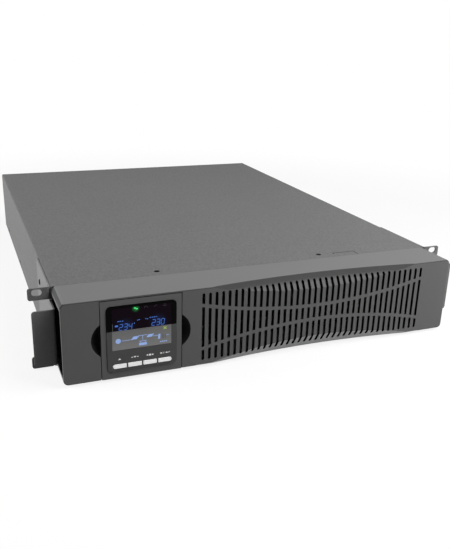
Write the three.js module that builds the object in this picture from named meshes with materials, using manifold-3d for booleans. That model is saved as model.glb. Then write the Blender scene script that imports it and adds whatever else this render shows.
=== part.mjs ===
// Rack-mount uninterruptible power supply, two rack units high, as an assembly of separate pieces.
// Millimetres, +Z up, the front faces -Y. The origin is the middle of the footprint, on the ground.
import * as THREE from "three";
import { mergeVertices } from "three/addons/utils/BufferGeometryUtils.js";
import Module from "manifold-3d";

const wasm = await Module();
wasm.setup();

// Overall sizes. Depths are measured back from the face of the bezel.
const BODY_WIDTH = 438;
const BODY_HEIGHT = 86.5;
const BODY_DEPTH = 600;
const SHEET = 1.2;
const FIT = 0.3;

// Steel case: a folded cover over a folded tray, closed by a bulkhead and a rear panel.
const BEND_INSIDE = 0.6;
const COVER_LIFT = 0.6;
const TRAY_LIP = 22;
const FLANGE_DEPTH = 20;
const REAR_PANEL_INSET = 1;
const CABLE_HOLE = 8;

// Front bezel, a moulded shell, a little narrower than the case and with its lower edge set up.
const BEZEL_DEPTH = 49;
const BEZEL_INSET = 0.5;
const BEZEL_LIFT = 2.6;
const BEZEL_CORNER = 5;
const BEZEL_EDGE = 1.2;
const BEZEL_FACE_WALL = 3;
const BEZEL_WALL = 2.8;
const BEZEL_INSIDE_CORNER = 2;

// Louvred grille: upright slots between two bowed ribs, on a face folded back above and below.
const GRILLE_LEFT_GAP = 19.2;
const GRILLE_RIGHT_GAP = 35.7;
const GRILLE_PITCH = 6.98;
const SLOT_WIDTH = 3;
const SLOT_MARGIN = 5.5;
const SLOT_TIP_STEPS = 3;
const RIB_THICKNESS = 3.8;
const RIB_MIDDLE_RISE = 8;
const RIB_END_RISE = 24.3;
const FOLD_END = 8.5;
const FOLD_HEIGHT = 14.7;
const FOLD_SETBACK = 9;
const FOLD_STATIONS = 14;
const FOLD_INSIDE_STATIONS = 6;

// Grip pockets in the two ends of the bezel.
const POCKET_DEPTH = 9.5;
const POCKET_FRONT = 3.5;
const POCKET_MARGIN = 7.8;
const POCKET_WALL = 2.2;

// Display module, which pulls out of the bezel.
const DISPLAY_INSET = 37.3;
const DISPLAY_WIDTH = 80.2;
const DISPLAY_TOP_MARGIN = 2.2;
const DISPLAY_FOOT_GAP = 0.2;
const DISPLAY_DEPTH = 32;
const DISPLAY_GAP = 0.7;
const DISPLAY_WALL = 2;
const DISPLAY_FACE_WALL = 3;
const DISPLAY_POST = 5;
const LEAD_HOLE_WIDTH = 18;
const LEAD_HOLE_HEIGHT = 10;
const LEAD_HOLE_CORNER = 3;
const SOCKET_WALL = 2;

// Finger scoops beside the display module.
const SCOOP_REACH = 9.1;
const SCOOP_HALF_HEIGHT = 16.9;
const SCOOP_DEPTH = 10;
const SCOOP_WALL = 2.5;

// Raised control panel on the display module, with its screen and keys.
const OVERLAY_SIDE = 5.45;
const OVERLAY_FOOT = 6.8;
const OVERLAY_HEAD = 6;
const OVERLAY_CORNER = 4.5;
const OVERLAY_THICKNESS = 1.2;
const OVERLAY_PROUD = 0.6;
const SCREEN_SIDE = 5.25;
const SCREEN_HEAD = 2.5;
const SCREEN_OVER_KEYS = 15.05;
const KEY_COUNT = 4;
const KEY_GAP = 1.9;
const KEY_HEIGHT = 4;
const KEY_RISE = 6.1;
const KEY_PROUD = 0.5;
const KEY_TRAVEL = 0.8;
const KEY_FLANGE = 0.7;
const KEY_FLANGE_SIDE = 0.8;
const BOARD_THICKNESS = 1.6;

// Rack ears. The reach makes the width over the ears 482.6, and the slots lie 76.2 apart.
const EAR_REACH = 22.3;
const EAR_SHEET = 1.5;
const EAR_LEG = 93.4;
const EAR_MARGIN = 0.5;
const EAR_TAB_HEIGHT = 12.6;
const EAR_CORNER = 2.5;
const EAR_SLOT_WIDTH = 10;
const EAR_SLOT_HEIGHT = 6.8;
const EAR_SLOT_INSET = 8.75;
const EAR_SLOT_EDGE = 5.15;
const GRIP_FACE = 24;
const GRIP_MARGIN = 14.25;
const GRIP_CORNER = 3;
const EAR_SCREW_SETBACKS = [34.4, 72.4];
const EAR_SCREW_MARGIN = 21.25;

// Countersunk screws.
const SCREW_HEAD = 3.1;
const SCREW_RIM = 0.1;
const SCREW_SHANK = 1.5;
const SCREW_LENGTH = 6;
const SCREW_SIDES = 8;
const COVER_SCREW_EDGE = 8.3;
const COVER_SCREW_LEFT = 110.2;
const COVER_SCREW_RIGHT = 136.4;
const SIDE_SCREW_SETBACKS = [226, 60];
const SIDE_SCREW_Z = 6;

// Lanced tongue in the cover, close to the bezel.
const LANCE_INSET = 104.4;
const LANCE_WIDTH = 28;
const LANCE_SETBACK = 10.7;
const LANCE_LENGTH = 10.4;
const LANCE_SLIT = 0.9;

// Battery pack: sealed blocks lying on their sides in a tray behind the grille.
const BATTERY_LENGTH = 151;
const BATTERY_BODY = 94;
const BATTERY_HEIGHT = 65;
const BATTERY_LID = 6;
const BATTERY_LID_STEP = 1.5;
const BATTERY_SPACE = 1;
const BATTERY_INSET = 2.9;
const BATTERY_COLUMNS = 2;
const BATTERY_ROWS = 3;
const TERMINAL_LENGTH = 5;
const TERMINAL_THICKNESS = 3;
const TERMINAL_WIDTH = 6.4;
const TERMINAL_INSET = 10;
const TERMINAL_RISE = 12;
const BATTERY_TRAY_LIP = 25;
const PACK_HEADROOM = 3;
const PACK_SIDE_SPACE = 14;
const DOOR_OVERLAP = 2.5;
const DOOR_CORNER = 3;
const DOOR_SLOTS = 7;
const DOOR_SLOT_HEIGHT = 4;
const DOOR_SLOT_MARGIN = 16;

// Circuit boards and what stands on them.
const BOARD_Z = 9.5;
const BOARD_END_SPACE = 8;
const BOARD_FAN_SPACE = 12.5;
const MAIN_BOARD_EDGE = 11.3;
const FILTER_BOARD_EDGE = 6.3;
const FILTER_BOARD_SPACE = 22;
const FILTER_BOARD_SETBACK = 19.2;
const FILTER_PACK_SPACE = 9;
const BOSS_RADIUS = 4;
const HEATSINK_SHARE = 0.232;
const HEATSINK_LENGTH = 170;
const HEATSINK_HEADROOM = 15.6;
const HEATSINK_FINS = 9;
const HEATSINK_FIN = 2;
const HEATSINK_BASE = 6;
const HEATSINK_X_SHARE = -0.44;
const CAPACITOR_RADIUS = 15;
const CAPACITOR_HEIGHT = 50;
const CAPACITOR_SPACE = 6;
const CAPACITOR_COUNT = 3;
const CAPACITOR_GROOVE = [4, 5, 6];
const CAPACITOR_ROLL = 1;
const CHOKE_X_SHARE = 0.245;
const CHOKE_Y_SHARES = [0.3, 0.7];
const FILTER_CHOKE_Y_SHARE = 0.25;
const TOROID_RADIUS = 27;
const TOROID_HOLE = 5;
const TRANSFORMER_X_SHARE = 0.635;
const CHARGER_Y_SHARE = 0.65;
const CORE_WIDTH = 48;
const CORE_DEPTH = 18;
const CORE_HEIGHT = 34;
const WINDING_RADIUS = 17;
const WINDING_OVERHANG = 3;
const CONTROL_BOARD_WIDTH = 110;
const CONTROL_BOARD_HEIGHT = 56;
const CONTROL_BOARD_SETBACK = 12;

// Fans.
const FAN_HEADROOM = 1.75;
const FAN_SIDE_SPACE = 3;
const FAN_DEPTH = 25;
const FAN_CORNER = 5;
const FAN_RIM = 2;
const FAN_HUB = 16;
const FAN_HUB_PLATE = 4;
const FAN_STRUT = 3;
const FAN_SCREW_INSET = 4.25;
const FAN_SCREW_RADIUS = 2.1;
const FAN_TIP_GAP = 1.5;
const FAN_BLADES = 7;
const FAN_BLADE = 1.6;
const FAN_CHORDS = [11, 19];
const FAN_TILTS = [0.9, 0.6];
const GUARD_RINGS = 3;
const GUARD_EDGE = 5;
const GUARD_PITCH = 8;
const GUARD_SLOT = 5.4;
const GUARD_SPOKE = 4.2;

// Rear fittings: sizes of their flanges, and what is cut in them or stands on them.
const REAR_REACH = 5;
const COLUMN_SPACE = 2;
const FLANGE = 2;
const FLANGE_CORNER = 1.5;
const SMALL_DEPTH = 14;
const LARGE_DEPTH = 26;
const SLOT_COVER_WIDTH = 76;
const SLOT_COVER_HEIGHT = 34;
const SLOT_COVER_CORNER = 2;
const SLOT_SCREW_INSET = 6;
const SLOT_SCREW_HEAD = 4.2;
const SLOT_SEAT = 10;
const SLOT_SEAT_TOP = 2;
const SERIAL_WIDTH = 31;
const SERIAL_HEIGHT = 12.5;
const SERIAL_SHELL = [17, 8.4, 2];
const SERIAL_SHELL_WALL = 0.7;
const SERIAL_PROUD = 2.4;
const SERIAL_POST_X = 12.5;
const SERIAL_POST_RADIUS = 2.5;
const USB_WIDTH = 14;
const USB_HEIGHT = 13;
const USB_MOUTH = [8.4, 7.8, 1.6];
const USB_TONGUE = [5.6, 3.2];
const USB_MOUTH_DEPTH = 8;
const EPO_WIDTH = 14;
const EPO_HEIGHT = 12;
const EPO_PITCH = 5;
const EPO_WAY = [3, 4];
const EPO_WAY_DEPTH = 7;
const PORT_SPACE = 6;
const BATTERY_PORT_WIDTH = 23;
const BATTERY_PORT_HEIGHT = 32;
const BATTERY_WAY = 12;
const BATTERY_WAY_PITCH = 14;
const BATTERY_WAY_DEPTH = 14;
const BATTERY_CONTACT = [7, 2];
const BREAKER_NUT = 8.5;
const BREAKER_LENGTH = 30;
const BREAKER_BUTTON = 3.4;
const BREAKER_GUIDE = 6;
const BREAKER_TRAVEL = 3;
const BREAKER_PROUD = 1.2;
const OUTLET_PITCH = 26;
const OUTLET_BLOCK_HEIGHT = 27;
const LARGE_WIDTH = 39;
const LARGE_HEIGHT = 31;
const RECESS_DEPTH = 16;
const CORE_SETBACK = 1;
const OUTLET = { mouth: [23.4, 16.6, 4], core: [16.4, 10.6, 2.5], slot: [1.8, 4.2], spread: 5 };
const OUTLET_LARGE = { mouth: [33, 25, 4], core: [26, 19, 2.5], slot: [6, 2.4], spread: 6.5 };
const EARTH_RISE = 1.8;
const LIVE_DROP = 1.5;
const INLET_MOUTH = [32, 24.5, 5];
const INLET_DEPTH = 18;
const INLET_PIN = [8, 2];
const INLET_PIN_SETBACK = 3;
const INLET_PIN_PLACES = [[-8, -3], [8, -3], [0, 5]];

// Where pieces meet, worked out from the sizes above.
const HALF_BODY = BODY_WIDTH / 2;
const MID_HEIGHT = BODY_HEIGHT / 2;
const RACK_WIDTH = BODY_WIDTH + 2 * EAR_REACH;
const BEZEL_HALF = HALF_BODY - BEZEL_INSET;
const BEZEL_MIDDLE = (BEZEL_LIFT + BODY_HEIGHT) / 2;
const COVER_BEND = SHEET + BEND_INSIDE;
const CASE_FRONT = BEZEL_DEPTH + FIT;
const CASE_INSIDE = HALF_BODY - SHEET - FIT;
const WALL_INSIDE = CASE_INSIDE - SHEET;
const CASE_CEILING = BODY_HEIGHT - SHEET - FIT;
const TRAY_FRONT = CASE_FRONT + SHEET + FIT;
const TRAY_FLOOR = SHEET + FIT;
const REAR_FACE = BODY_DEPTH - REAR_PANEL_INSET;
const REAR_INSIDE = REAR_FACE - SHEET;
const FITTING_BACK = REAR_FACE + FIT;
const FITTING_FACE = FITTING_BACK + FLANGE;
const COVER_SCREW_DEPTH = CASE_FRONT + FLANGE_DEPTH - COVER_SCREW_EDGE;
const COVER_SCREW_X = [COVER_SCREW_LEFT - HALF_BODY, HALF_BODY - COVER_SCREW_RIGHT];
const SIDE_SCREW_DEPTHS = SIDE_SCREW_SETBACKS.map((setback) => BODY_DEPTH - setback);
const DISPLAY_LEFT = DISPLAY_INSET - HALF_BODY;
const DISPLAY_RIGHT = DISPLAY_LEFT + DISPLAY_WIDTH;
const DISPLAY_X = (DISPLAY_LEFT + DISPLAY_RIGHT) / 2;
const DISPLAY_TOP = BODY_HEIGHT - DISPLAY_TOP_MARGIN;
const DISPLAY_LIFT = BEZEL_LIFT + DISPLAY_FOOT_GAP;
const DISPLAY_BOARD = DISPLAY_FACE_WALL + FIT + KEY_FLANGE + KEY_TRAVEL + FIT;
const OVERLAY_HALF = DISPLAY_WIDTH / 2 - OVERLAY_SIDE;
const OVERLAY_LOW = DISPLAY_LIFT + OVERLAY_FOOT;
const OVERLAY_HIGH = DISPLAY_TOP - OVERLAY_HEAD;
const SCREEN_WIDTH = 2 * (OVERLAY_HALF - SCREEN_SIDE);
const KEY_Z = OVERLAY_LOW + KEY_RISE;
const KEY_PITCH = (SCREEN_WIDTH + KEY_GAP) / KEY_COUNT;
const KEY_WIDTH = KEY_PITCH - KEY_GAP;
const SCREEN_LOW = KEY_Z + KEY_HEIGHT / 2 + SCREEN_OVER_KEYS;
const SCREEN_HIGH = OVERLAY_HIGH - SCREEN_HEAD;
const FRONT_REACH = OVERLAY_PROUD + KEY_PROUD;
const GRILLE_LEFT = DISPLAY_RIGHT + GRILLE_LEFT_GAP;
const GRILLE_RIGHT = HALF_BODY - GRILLE_RIGHT_GAP;
const GRILLE_X = (GRILLE_LEFT + GRILLE_RIGHT) / 2;
const GRILLE_HALF = (GRILLE_RIGHT - GRILLE_LEFT) / 2;
const GRILLE_COLUMNS = Math.floor((2 * GRILLE_HALF) / GRILLE_PITCH);
const EAR_FACE = CASE_FRONT + FIT;
const EAR_LEG_END = EAR_FACE + EAR_LEG;
const PACK_HALF_WIDTH = (BATTERY_COLUMNS * (BATTERY_LENGTH + FIT) + FIT) / 2 + SHEET;
const PACK_X = WALL_INSIDE - PACK_SIDE_SPACE - PACK_HALF_WIDTH;
const PACK_TOP = TRAY_FLOOR + SHEET + BATTERY_HEIGHT + PACK_HEADROOM;
const BATTERY_START = TRAY_FRONT + FIT + BATTERY_INSET;
const BATTERY_ROW_PITCH = BATTERY_BODY + TERMINAL_LENGTH + BATTERY_SPACE;
const PACK_END = BATTERY_START + BATTERY_ROWS * BATTERY_ROW_PITCH;
const BOARD_TOP = BOARD_Z + BOARD_THICKNESS;
const FAN_SIZE = CASE_CEILING - TRAY_FLOOR - 2 * FAN_HEADROOM;
const FAN_BORE = FAN_SIZE / 2 - FAN_RIM;
const FAN_BACK = REAR_INSIDE - FIT;
const FAN_FRONT = FAN_BACK - FAN_DEPTH;
const MAIN_BOARD_HALF = WALL_INSIDE - MAIN_BOARD_EDGE;
const MAIN_BOARD_START = PACK_END + BOARD_END_SPACE;
const MAIN_BOARD_END = FAN_FRONT - BOARD_FAN_SPACE;
const MAIN_BOARD_LENGTH = MAIN_BOARD_END - MAIN_BOARD_START;
const FILTER_BOARD_LEFT = FILTER_BOARD_EDGE - WALL_INSIDE;
const FILTER_BOARD_RIGHT = PACK_X - PACK_HALF_WIDTH - FILTER_PACK_SPACE;
const FILTER_BOARD_X = (FILTER_BOARD_LEFT + FILTER_BOARD_RIGHT) / 2;
const FILTER_BOARD_START = TRAY_FRONT + FILTER_BOARD_SETBACK;
const FILTER_BOARD_END = MAIN_BOARD_START - FILTER_BOARD_SPACE;
const MAIN_BOARD_MIDDLE = (MAIN_BOARD_START + MAIN_BOARD_END) / 2;
const HEATSINK_DEPTH = HEATSINK_SHARE * MAIN_BOARD_LENGTH;
const ROW_DEPTHS = 2 * HEATSINK_DEPTH + 2 * CAPACITOR_RADIUS;
const PART_SPACE = (MAIN_BOARD_LENGTH - ROW_DEPTHS) / 4;
const HEATSINK_X = HEATSINK_X_SHARE * MAIN_BOARD_HALF;
const CHOKE_X = CHOKE_X_SHARE * MAIN_BOARD_HALF;
const TRANSFORMER_X = TRANSFORMER_X_SHARE * MAIN_BOARD_HALF;
const HEATSINK_HEIGHT = CASE_CEILING - HEATSINK_HEADROOM - BOARD_TOP - FIT;

// The rear is laid out in columns from left to right, with equal gaps: two fans, the option slot
// over the small ports, the breaker over the battery port, the outlets, and the large outlet over
// the inlet. As many outlets stand in a row as there is room for.
const FANS_WIDTH = 2 * FAN_SIZE + FAN_SIDE_SPACE;
const FIXED_COLUMNS = FANS_WIDTH + SLOT_COVER_WIDTH + BATTERY_PORT_WIDTH + LARGE_WIDTH;
const OUTLET_ROOM = 2 * WALL_INSIDE - FIXED_COLUMNS - FLANGE - 6 * COLUMN_SPACE;
const OUTLET_COUNT = Math.floor(OUTLET_ROOM / OUTLET_PITCH);
const OUTLET_BLOCK_WIDTH = OUTLET_COUNT * OUTLET_PITCH + FLANGE;
const COLUMN_GAP = (2 * WALL_INSIDE - FIXED_COLUMNS - OUTLET_BLOCK_WIDTH) / 6;
const FAN_X = [0, 1].map(
  (fan) => COLUMN_GAP - WALL_INSIDE + (fan + 0.5) * FAN_SIZE + fan * FAN_SIDE_SPACE,
);
const SLOT_X = FAN_X[1] + FAN_SIZE / 2 + COLUMN_GAP + SLOT_COVER_WIDTH / 2;
const BREAKER_X = SLOT_X + SLOT_COVER_WIDTH / 2 + COLUMN_GAP + BATTERY_PORT_WIDTH / 2;
const OUTLETS_X = BREAKER_X + BATTERY_PORT_WIDTH / 2 + COLUMN_GAP + OUTLET_BLOCK_WIDTH / 2;
const LARGE_X = WALL_INSIDE - COLUMN_GAP - LARGE_WIDTH / 2;

// The middle of a fitting in the upper (1) or lower (-1) row, with equal gaps above and below.
function rowHeight(side, height) {
  const inside = CASE_CEILING - TRAY_FLOOR;
  const gap = (inside - 2 * height) / 3;
  return (CASE_CEILING + TRAY_FLOOR) / 2 + (side * (height + gap)) / 2;
}

const SMALL_Z = rowHeight(-1, USB_HEIGHT);
const SERIAL_X = SLOT_X + SLOT_COVER_WIDTH / 2 - SERIAL_WIDTH / 2;
const USB_X = SERIAL_X - SERIAL_WIDTH / 2 - PORT_SPACE - USB_WIDTH / 2;
const EPO_X = USB_X - USB_WIDTH / 2 - PORT_SPACE - EPO_WIDTH / 2;
const SLOT_COVER = {
  x: SLOT_X,
  z: rowHeight(1, SLOT_COVER_HEIGHT),
  width: SLOT_COVER_WIDTH,
  height: SLOT_COVER_HEIGHT,
};
const SERIAL_PORT = { x: SERIAL_X, z: SMALL_Z, width: SERIAL_WIDTH, height: SERIAL_HEIGHT };
const USB_PORT = { x: USB_X, z: SMALL_Z, width: USB_WIDTH, height: USB_HEIGHT };
const EPO_PORT = { x: EPO_X, z: SMALL_Z, width: EPO_WIDTH, height: EPO_HEIGHT };
const BATTERY_PORT = {
  x: BREAKER_X,
  z: rowHeight(-1, BATTERY_PORT_HEIGHT),
  width: BATTERY_PORT_WIDTH,
  height: BATTERY_PORT_HEIGHT,
};
const BREAKER_Z = rowHeight(1, 2 * BREAKER_NUT);
const OUTLET_ROWS = [-1, 1].map((side) => ({
  x: OUTLETS_X,
  z: rowHeight(side, OUTLET_BLOCK_HEIGHT),
  width: OUTLET_BLOCK_WIDTH,
  height: OUTLET_BLOCK_HEIGHT,
}));
const LARGE_OUTLET = {
  x: LARGE_X,
  z: rowHeight(1, LARGE_HEIGHT),
  width: LARGE_WIDTH,
  height: LARGE_HEIGHT,
};
const INLET = { ...LARGE_OUTLET, z: rowHeight(-1, LARGE_HEIGHT) };

// Finishes, by the name of what they are.
const FINISHES = {
  steelPaint: { color: 0x4d4e50, roughness: 0.62, metalness: 0.25 },
  bezelPlastic: { color: 0x464749, roughness: 0.66, metalness: 0 },
  blackGloss: { color: 0x0c0c0e, roughness: 0.12, metalness: 0 },
  screenGlass: { color: 0x15151c, roughness: 0.08, metalness: 0 },
  keyWhite: { color: 0xe6e6e4, roughness: 0.45, metalness: 0 },
  blackPlastic: { color: 0x151516, roughness: 0.55, metalness: 0 },
  blackScrew: { color: 0x1a1a1b, roughness: 0.4, metalness: 0.8 },
  zincSteel: { color: 0xb4b8bb, roughness: 0.4, metalness: 0.85 },
  circuitBoard: { color: 0x14532d, roughness: 0.5, metalness: 0 },
  aluminium: { color: 0xc2c5c8, roughness: 0.35, metalness: 0.95 },
  copperWire: { color: 0xa65e2e, roughness: 0.35, metalness: 0.9 },
  batteryCase: { color: 0x5c6066, roughness: 0.6, metalness: 0 },
  capacitorSleeve: { color: 0x1b2f52, roughness: 0.4, metalness: 0 },
  terminalGreen: { color: 0x2e7d45, roughness: 0.5, metalness: 0 },
  redButton: { color: 0xb02a25, roughness: 0.45, metalness: 0 },
};

const assembly = new THREE.Group();
assembly.position.y = (FRONT_REACH - BODY_DEPTH - REAR_REACH) / 2;

// Geometry to solid, and back.

function solid(geometry) {
  const bare = geometry.clone();
  bare.deleteAttribute("normal");
  bare.deleteAttribute("uv");
  const merged = mergeVertices(bare, 1e-3);
  const mesh = new wasm.Mesh({
    numProp: 3,
    vertProperties: merged.attributes.position.array,
    triVerts: new Uint32Array(merged.index.array),
  });
  return new wasm.Manifold(mesh);
}

function geometryOf(body) {
  const mesh = body.getMesh();
  const indexed = new THREE.BufferGeometry();
  indexed.setAttribute("position", new THREE.BufferAttribute(mesh.vertProperties, 3));
  indexed.setIndex(new THREE.BufferAttribute(mesh.triVerts, 1));
  const flat = indexed.toNonIndexed();
  flat.computeVertexNormals();
  return flat;
}

function place(name, body, finish, parent = assembly) {
  const material = new THREE.MeshStandardMaterial(FINISHES[finish]);
  const mesh = new THREE.Mesh(geometryOf(body), material);
  mesh.name = name;
  parent.add(mesh);
  return mesh;
}

function joined(bodies) {
  return bodies.reduce((whole, body) => whole.add(body));
}

function without(body, cuts) {
  return cuts.reduce((whole, cut) => whole.subtract(cut), body);
}

// Simple bodies. Each is given by its limits: x across, y back from the bezel's face, z up.

function block(x0, x1, y0, y1, z0, z1) {
  const box = new THREE.BoxGeometry(x1 - x0, y1 - y0, z1 - z0);
  box.translate((x0 + x1) / 2, (y0 + y1) / 2, (z0 + z1) / 2);
  return solid(box);
}

function rectangle(x0, x1, z0, z1, corner = 0) {
  const shape = new THREE.Shape();
  if (corner === 0) {
    shape.moveTo(x0, z0);
    shape.lineTo(x1, z0);
    shape.lineTo(x1, z1);
    shape.lineTo(x0, z1);
    shape.closePath();
    return shape;
  }
  shape.moveTo(x0 + corner, z0);
  shape.lineTo(x1 - corner, z0);
  shape.absarc(x1 - corner, z0 + corner, corner, -Math.PI / 2, 0);
  shape.lineTo(x1, z1 - corner);
  shape.absarc(x1 - corner, z1 - corner, corner, 0, Math.PI / 2);
  shape.lineTo(x0 + corner, z1);
  shape.absarc(x0 + corner, z1 - corner, corner, Math.PI / 2, Math.PI);
  shape.lineTo(x0, z0 + corner);
  shape.absarc(x0 + corner, z0 + corner, corner, Math.PI, 1.5 * Math.PI);
  return shape;
}

function centred(x, z, width, height, corner = 0) {
  return rectangle(x - width / 2, x + width / 2, z - height / 2, z + height / 2, corner);
}

// Outlines seen from the front, drawn in x and z, run back from one depth to another.
function panel(shapes, y0, y1, curveSegments = 2) {
  const options = { depth: y1 - y0, bevelEnabled: false, curveSegments };
  const geometry = new THREE.ExtrudeGeometry(shapes, options);
  geometry.rotateX(Math.PI / 2);
  geometry.translate(0, y1, 0);
  return solid(geometry);
}

// Outlines seen from above, drawn in x and y, run up from one height to another.
function slab(shapes, z0, z1, curveSegments = 2) {
  const options = { depth: z1 - z0, bevelEnabled: false, curveSegments };
  const geometry = new THREE.ExtrudeGeometry(shapes, options);
  geometry.translate(0, 0, z0);
  return solid(geometry);
}

// A round bar whose axis is x, y or z, between two places on that axis.
function bar(axis, radius, from, to, across, up, sides = 16) {
  const cylinder = new THREE.CylinderGeometry(radius, radius, to - from, sides);
  const middle = (from + to) / 2;
  if (axis === "x") {
    cylinder.rotateZ(Math.PI / 2);
    cylinder.translate(middle, across, up);
  } else if (axis === "y") {
    cylinder.translate(across, middle, up);
  } else {
    cylinder.rotateX(Math.PI / 2);
    cylinder.translate(across, up, middle);
  }
  return solid(cylinder);
}

// A body through a row of convex rings that have the same number of points. Seen from the last
// ring, looking back along the row, the points of each ring run clockwise.
function loft(rings) {
  const size = rings[0].length;
  const positions = rings.flat(2);
  const index = [];
  for (let ring = 0; ring + 1 < rings.length; ring += 1) {
    for (let point = 0; point < size; point += 1) {
      const a = ring * size + point;
      const b = ring * size + ((point + 1) % size);
      index.push(a, b, b + size, a, b + size, a + size);
    }
  }
  const last = (rings.length - 1) * size;
  for (let point = 1; point + 1 < size; point += 1) {
    index.push(0, point + 1, point);
    index.push(last, last + point, last + point + 1);
  }
  const geometry = new THREE.BufferGeometry();
  geometry.setAttribute("position", new THREE.Float32BufferAttribute(positions, 3));
  geometry.setIndex(index);
  return solid(geometry);
}

// A channel open below (the cover) or above (a tray), drawn in x and z.
function channel(centre, halfWidth, foot, web, bend) {
  const inward = web > foot ? -1 : 1;
  const shape = new THREE.Shape();
  const turn = web > foot;
  const bendZ = web + inward * bend;
  const left = centre - halfWidth;
  const right = centre + halfWidth;
  const quarter = (inward * Math.PI) / 2;
  shape.moveTo(left, foot);
  shape.lineTo(left + SHEET, foot);
  shape.lineTo(left + SHEET, bendZ);
  shape.absarc(left + bend, bendZ, bend - SHEET, Math.PI, -quarter, turn);
  shape.lineTo(right - bend, web + inward * SHEET);
  shape.absarc(right - bend, bendZ, bend - SHEET, -quarter, 0, turn);
  shape.lineTo(right - SHEET, foot);
  shape.lineTo(right, foot);
  shape.lineTo(right, bendZ);
  shape.absarc(right - bend, bendZ, bend, 0, -quarter, !turn);
  shape.lineTo(left + bend, web);
  shape.absarc(left + bend, bendZ, bend, -quarter, Math.PI, !turn);
  return shape;
}

// Countersunk screws and their holes. The screw lies along z with its head at the top.

function screwProfile(spare) {
  const head = SCREW_HEAD + spare;
  const shank = SCREW_SHANK + spare;
  return [
    new THREE.Vector2(0, -SCREW_LENGTH - spare),
    new THREE.Vector2(shank, -SCREW_LENGTH - spare),
    new THREE.Vector2(shank, shank - head),
    new THREE.Vector2(head, spare > 0 ? 0 : -SCREW_RIM),
    new THREE.Vector2(head, spare),
    new THREE.Vector2(0, spare),
  ];
}

function screwShape(spare, turnY, x, y, z) {
  const lathe = new THREE.LatheGeometry(screwProfile(spare), SCREW_SIDES);
  lathe.rotateX(Math.PI / 2);
  lathe.rotateY(turnY);
  lathe.translate(x, y, z);
  return solid(lathe);
}

function coverScrew(x, spare) {
  return screwShape(spare, 0, x, COVER_SCREW_DEPTH, BODY_HEIGHT);
}

function sideScrew(side, depth, spare) {
  return screwShape(spare, (side * Math.PI) / 2, side * HALF_BODY, depth, SIDE_SCREW_Z);
}

// Steel case.

function lancedTongue() {
  const right = HALF_BODY - LANCE_INSET + LANCE_WIDTH / 2;
  const left = right - LANCE_WIDTH;
  const slit = CASE_FRONT + LANCE_SETBACK;
  const back = slit + LANCE_SLIT;
  const low = BODY_HEIGHT - 2 * SHEET;
  const high = BODY_HEIGHT + SHEET;
  return [
    block(left, right, slit, back, low, high),
    block(left, left + LANCE_SLIT, slit - 2 * LANCE_SLIT, back, low, high),
    block(right - LANCE_SLIT, right, back - LANCE_LENGTH, back, low, high),
  ];
}

function sideScrewHoles() {
  return [-1, 1].flatMap((side) =>
    SIDE_SCREW_DEPTHS.map((depth) => sideScrew(side, depth, FIT)),
  );
}

function topCover() {
  const profile = channel(0, HALF_BODY, COVER_LIFT, BODY_HEIGHT, COVER_BEND);
  return without(panel(profile, CASE_FRONT, BODY_DEPTH), [
    ...COVER_SCREW_X.map((x) => coverScrew(x, FIT)),
    ...sideScrewHoles(),
    ...lancedTongue(),
  ]);
}

function bosses(x0, x1, y0, y1, columns, rows) {
  const inset = 2 * BOSS_RADIUS;
  const made = [];
  for (let column = 0; column < columns; column += 1) {
    for (let row = 0; row < rows; row += 1) {
      const x = THREE.MathUtils.lerp(x0 + inset, x1 - inset, column / (columns - 1));
      const y = THREE.MathUtils.lerp(y0 + inset, y1 - inset, row / (rows - 1));
      made.push(bar("z", BOSS_RADIUS, SHEET / 2, BOARD_Z - FIT, x, y, 6));
    }
  }
  return made;
}

function baseTray() {
  const profile = channel(0, CASE_INSIDE, TRAY_LIP, 0, COVER_BEND);
  const half = MAIN_BOARD_HALF;
  const tray = joined([
    panel(profile, TRAY_FRONT, BODY_DEPTH),
    ...bosses(-half, half, MAIN_BOARD_START, MAIN_BOARD_END, 3, 2),
    ...bosses(FILTER_BOARD_LEFT, FILTER_BOARD_RIGHT, FILTER_BOARD_START, FILTER_BOARD_END, 2, 2),
  ]);
  const panelSeat = block(
    -HALF_BODY,
    HALF_BODY,
    REAR_INSIDE - FIT,
    BODY_DEPTH + 1,
    SHEET + 0.1,
    TRAY_LIP + 1,
  );
  return without(tray, [...sideScrewHoles(), panelSeat]);
}

// The flange that the cover is screwed to, along the top of the bulkhead or of the rear panel.
function coverFlange(y0, y1) {
  const half = CASE_INSIDE - COVER_BEND;
  return block(-half, half, y0, y1, CASE_CEILING - SHEET, CASE_CEILING);
}

function frontBulkhead() {
  const back = CASE_FRONT + SHEET;
  const wall = block(-CASE_INSIDE, CASE_INSIDE, CASE_FRONT, back, FIT, CASE_CEILING);
  const half = PACK_HALF_WIDTH + 2 * FIT;
  const batteryWay = block(PACK_X - half, PACK_X + half, 0, back + FIT, SHEET, PACK_TOP);
  const cableWay = bar("y", CABLE_HOLE, 0, back + FIT, DISPLAY_X, MID_HEIGHT, 12);
  return without(wall.add(coverFlange(CASE_FRONT, CASE_FRONT + FLANGE_DEPTH)), [
    batteryWay,
    cableWay,
    ...COVER_SCREW_X.map((x) => coverScrew(x, FIT)),
  ]);
}

// The plate that closes the battery bay, with two rows of air slots.
function batteryDoor() {
  const half = PACK_HALF_WIDTH + DOOR_OVERLAP;
  const high = PACK_TOP + DOOR_OVERLAP;
  const low = BEZEL_LIFT + BEZEL_WALL + FIT;
  const sheet = rectangle(PACK_X - half, PACK_X + half, low, high, DOOR_CORNER);
  const pitch = (2 * half) / (DOOR_SLOTS + 1);
  const slots = [];
  for (let column = 0; column < DOOR_SLOTS; column += 1) {
    const x = PACK_X + (column - (DOOR_SLOTS - 1) / 2) * pitch;
    for (const z of [low + DOOR_SLOT_MARGIN, high - DOOR_SLOT_MARGIN]) {
      slots.push(centred(x, z, (2 * pitch) / 3, DOOR_SLOT_HEIGHT));
    }
  }
  return panel(sheet, BEZEL_DEPTH - SHEET, BEZEL_DEPTH).subtract(panel(slots, 0, BODY_DEPTH));
}

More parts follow.
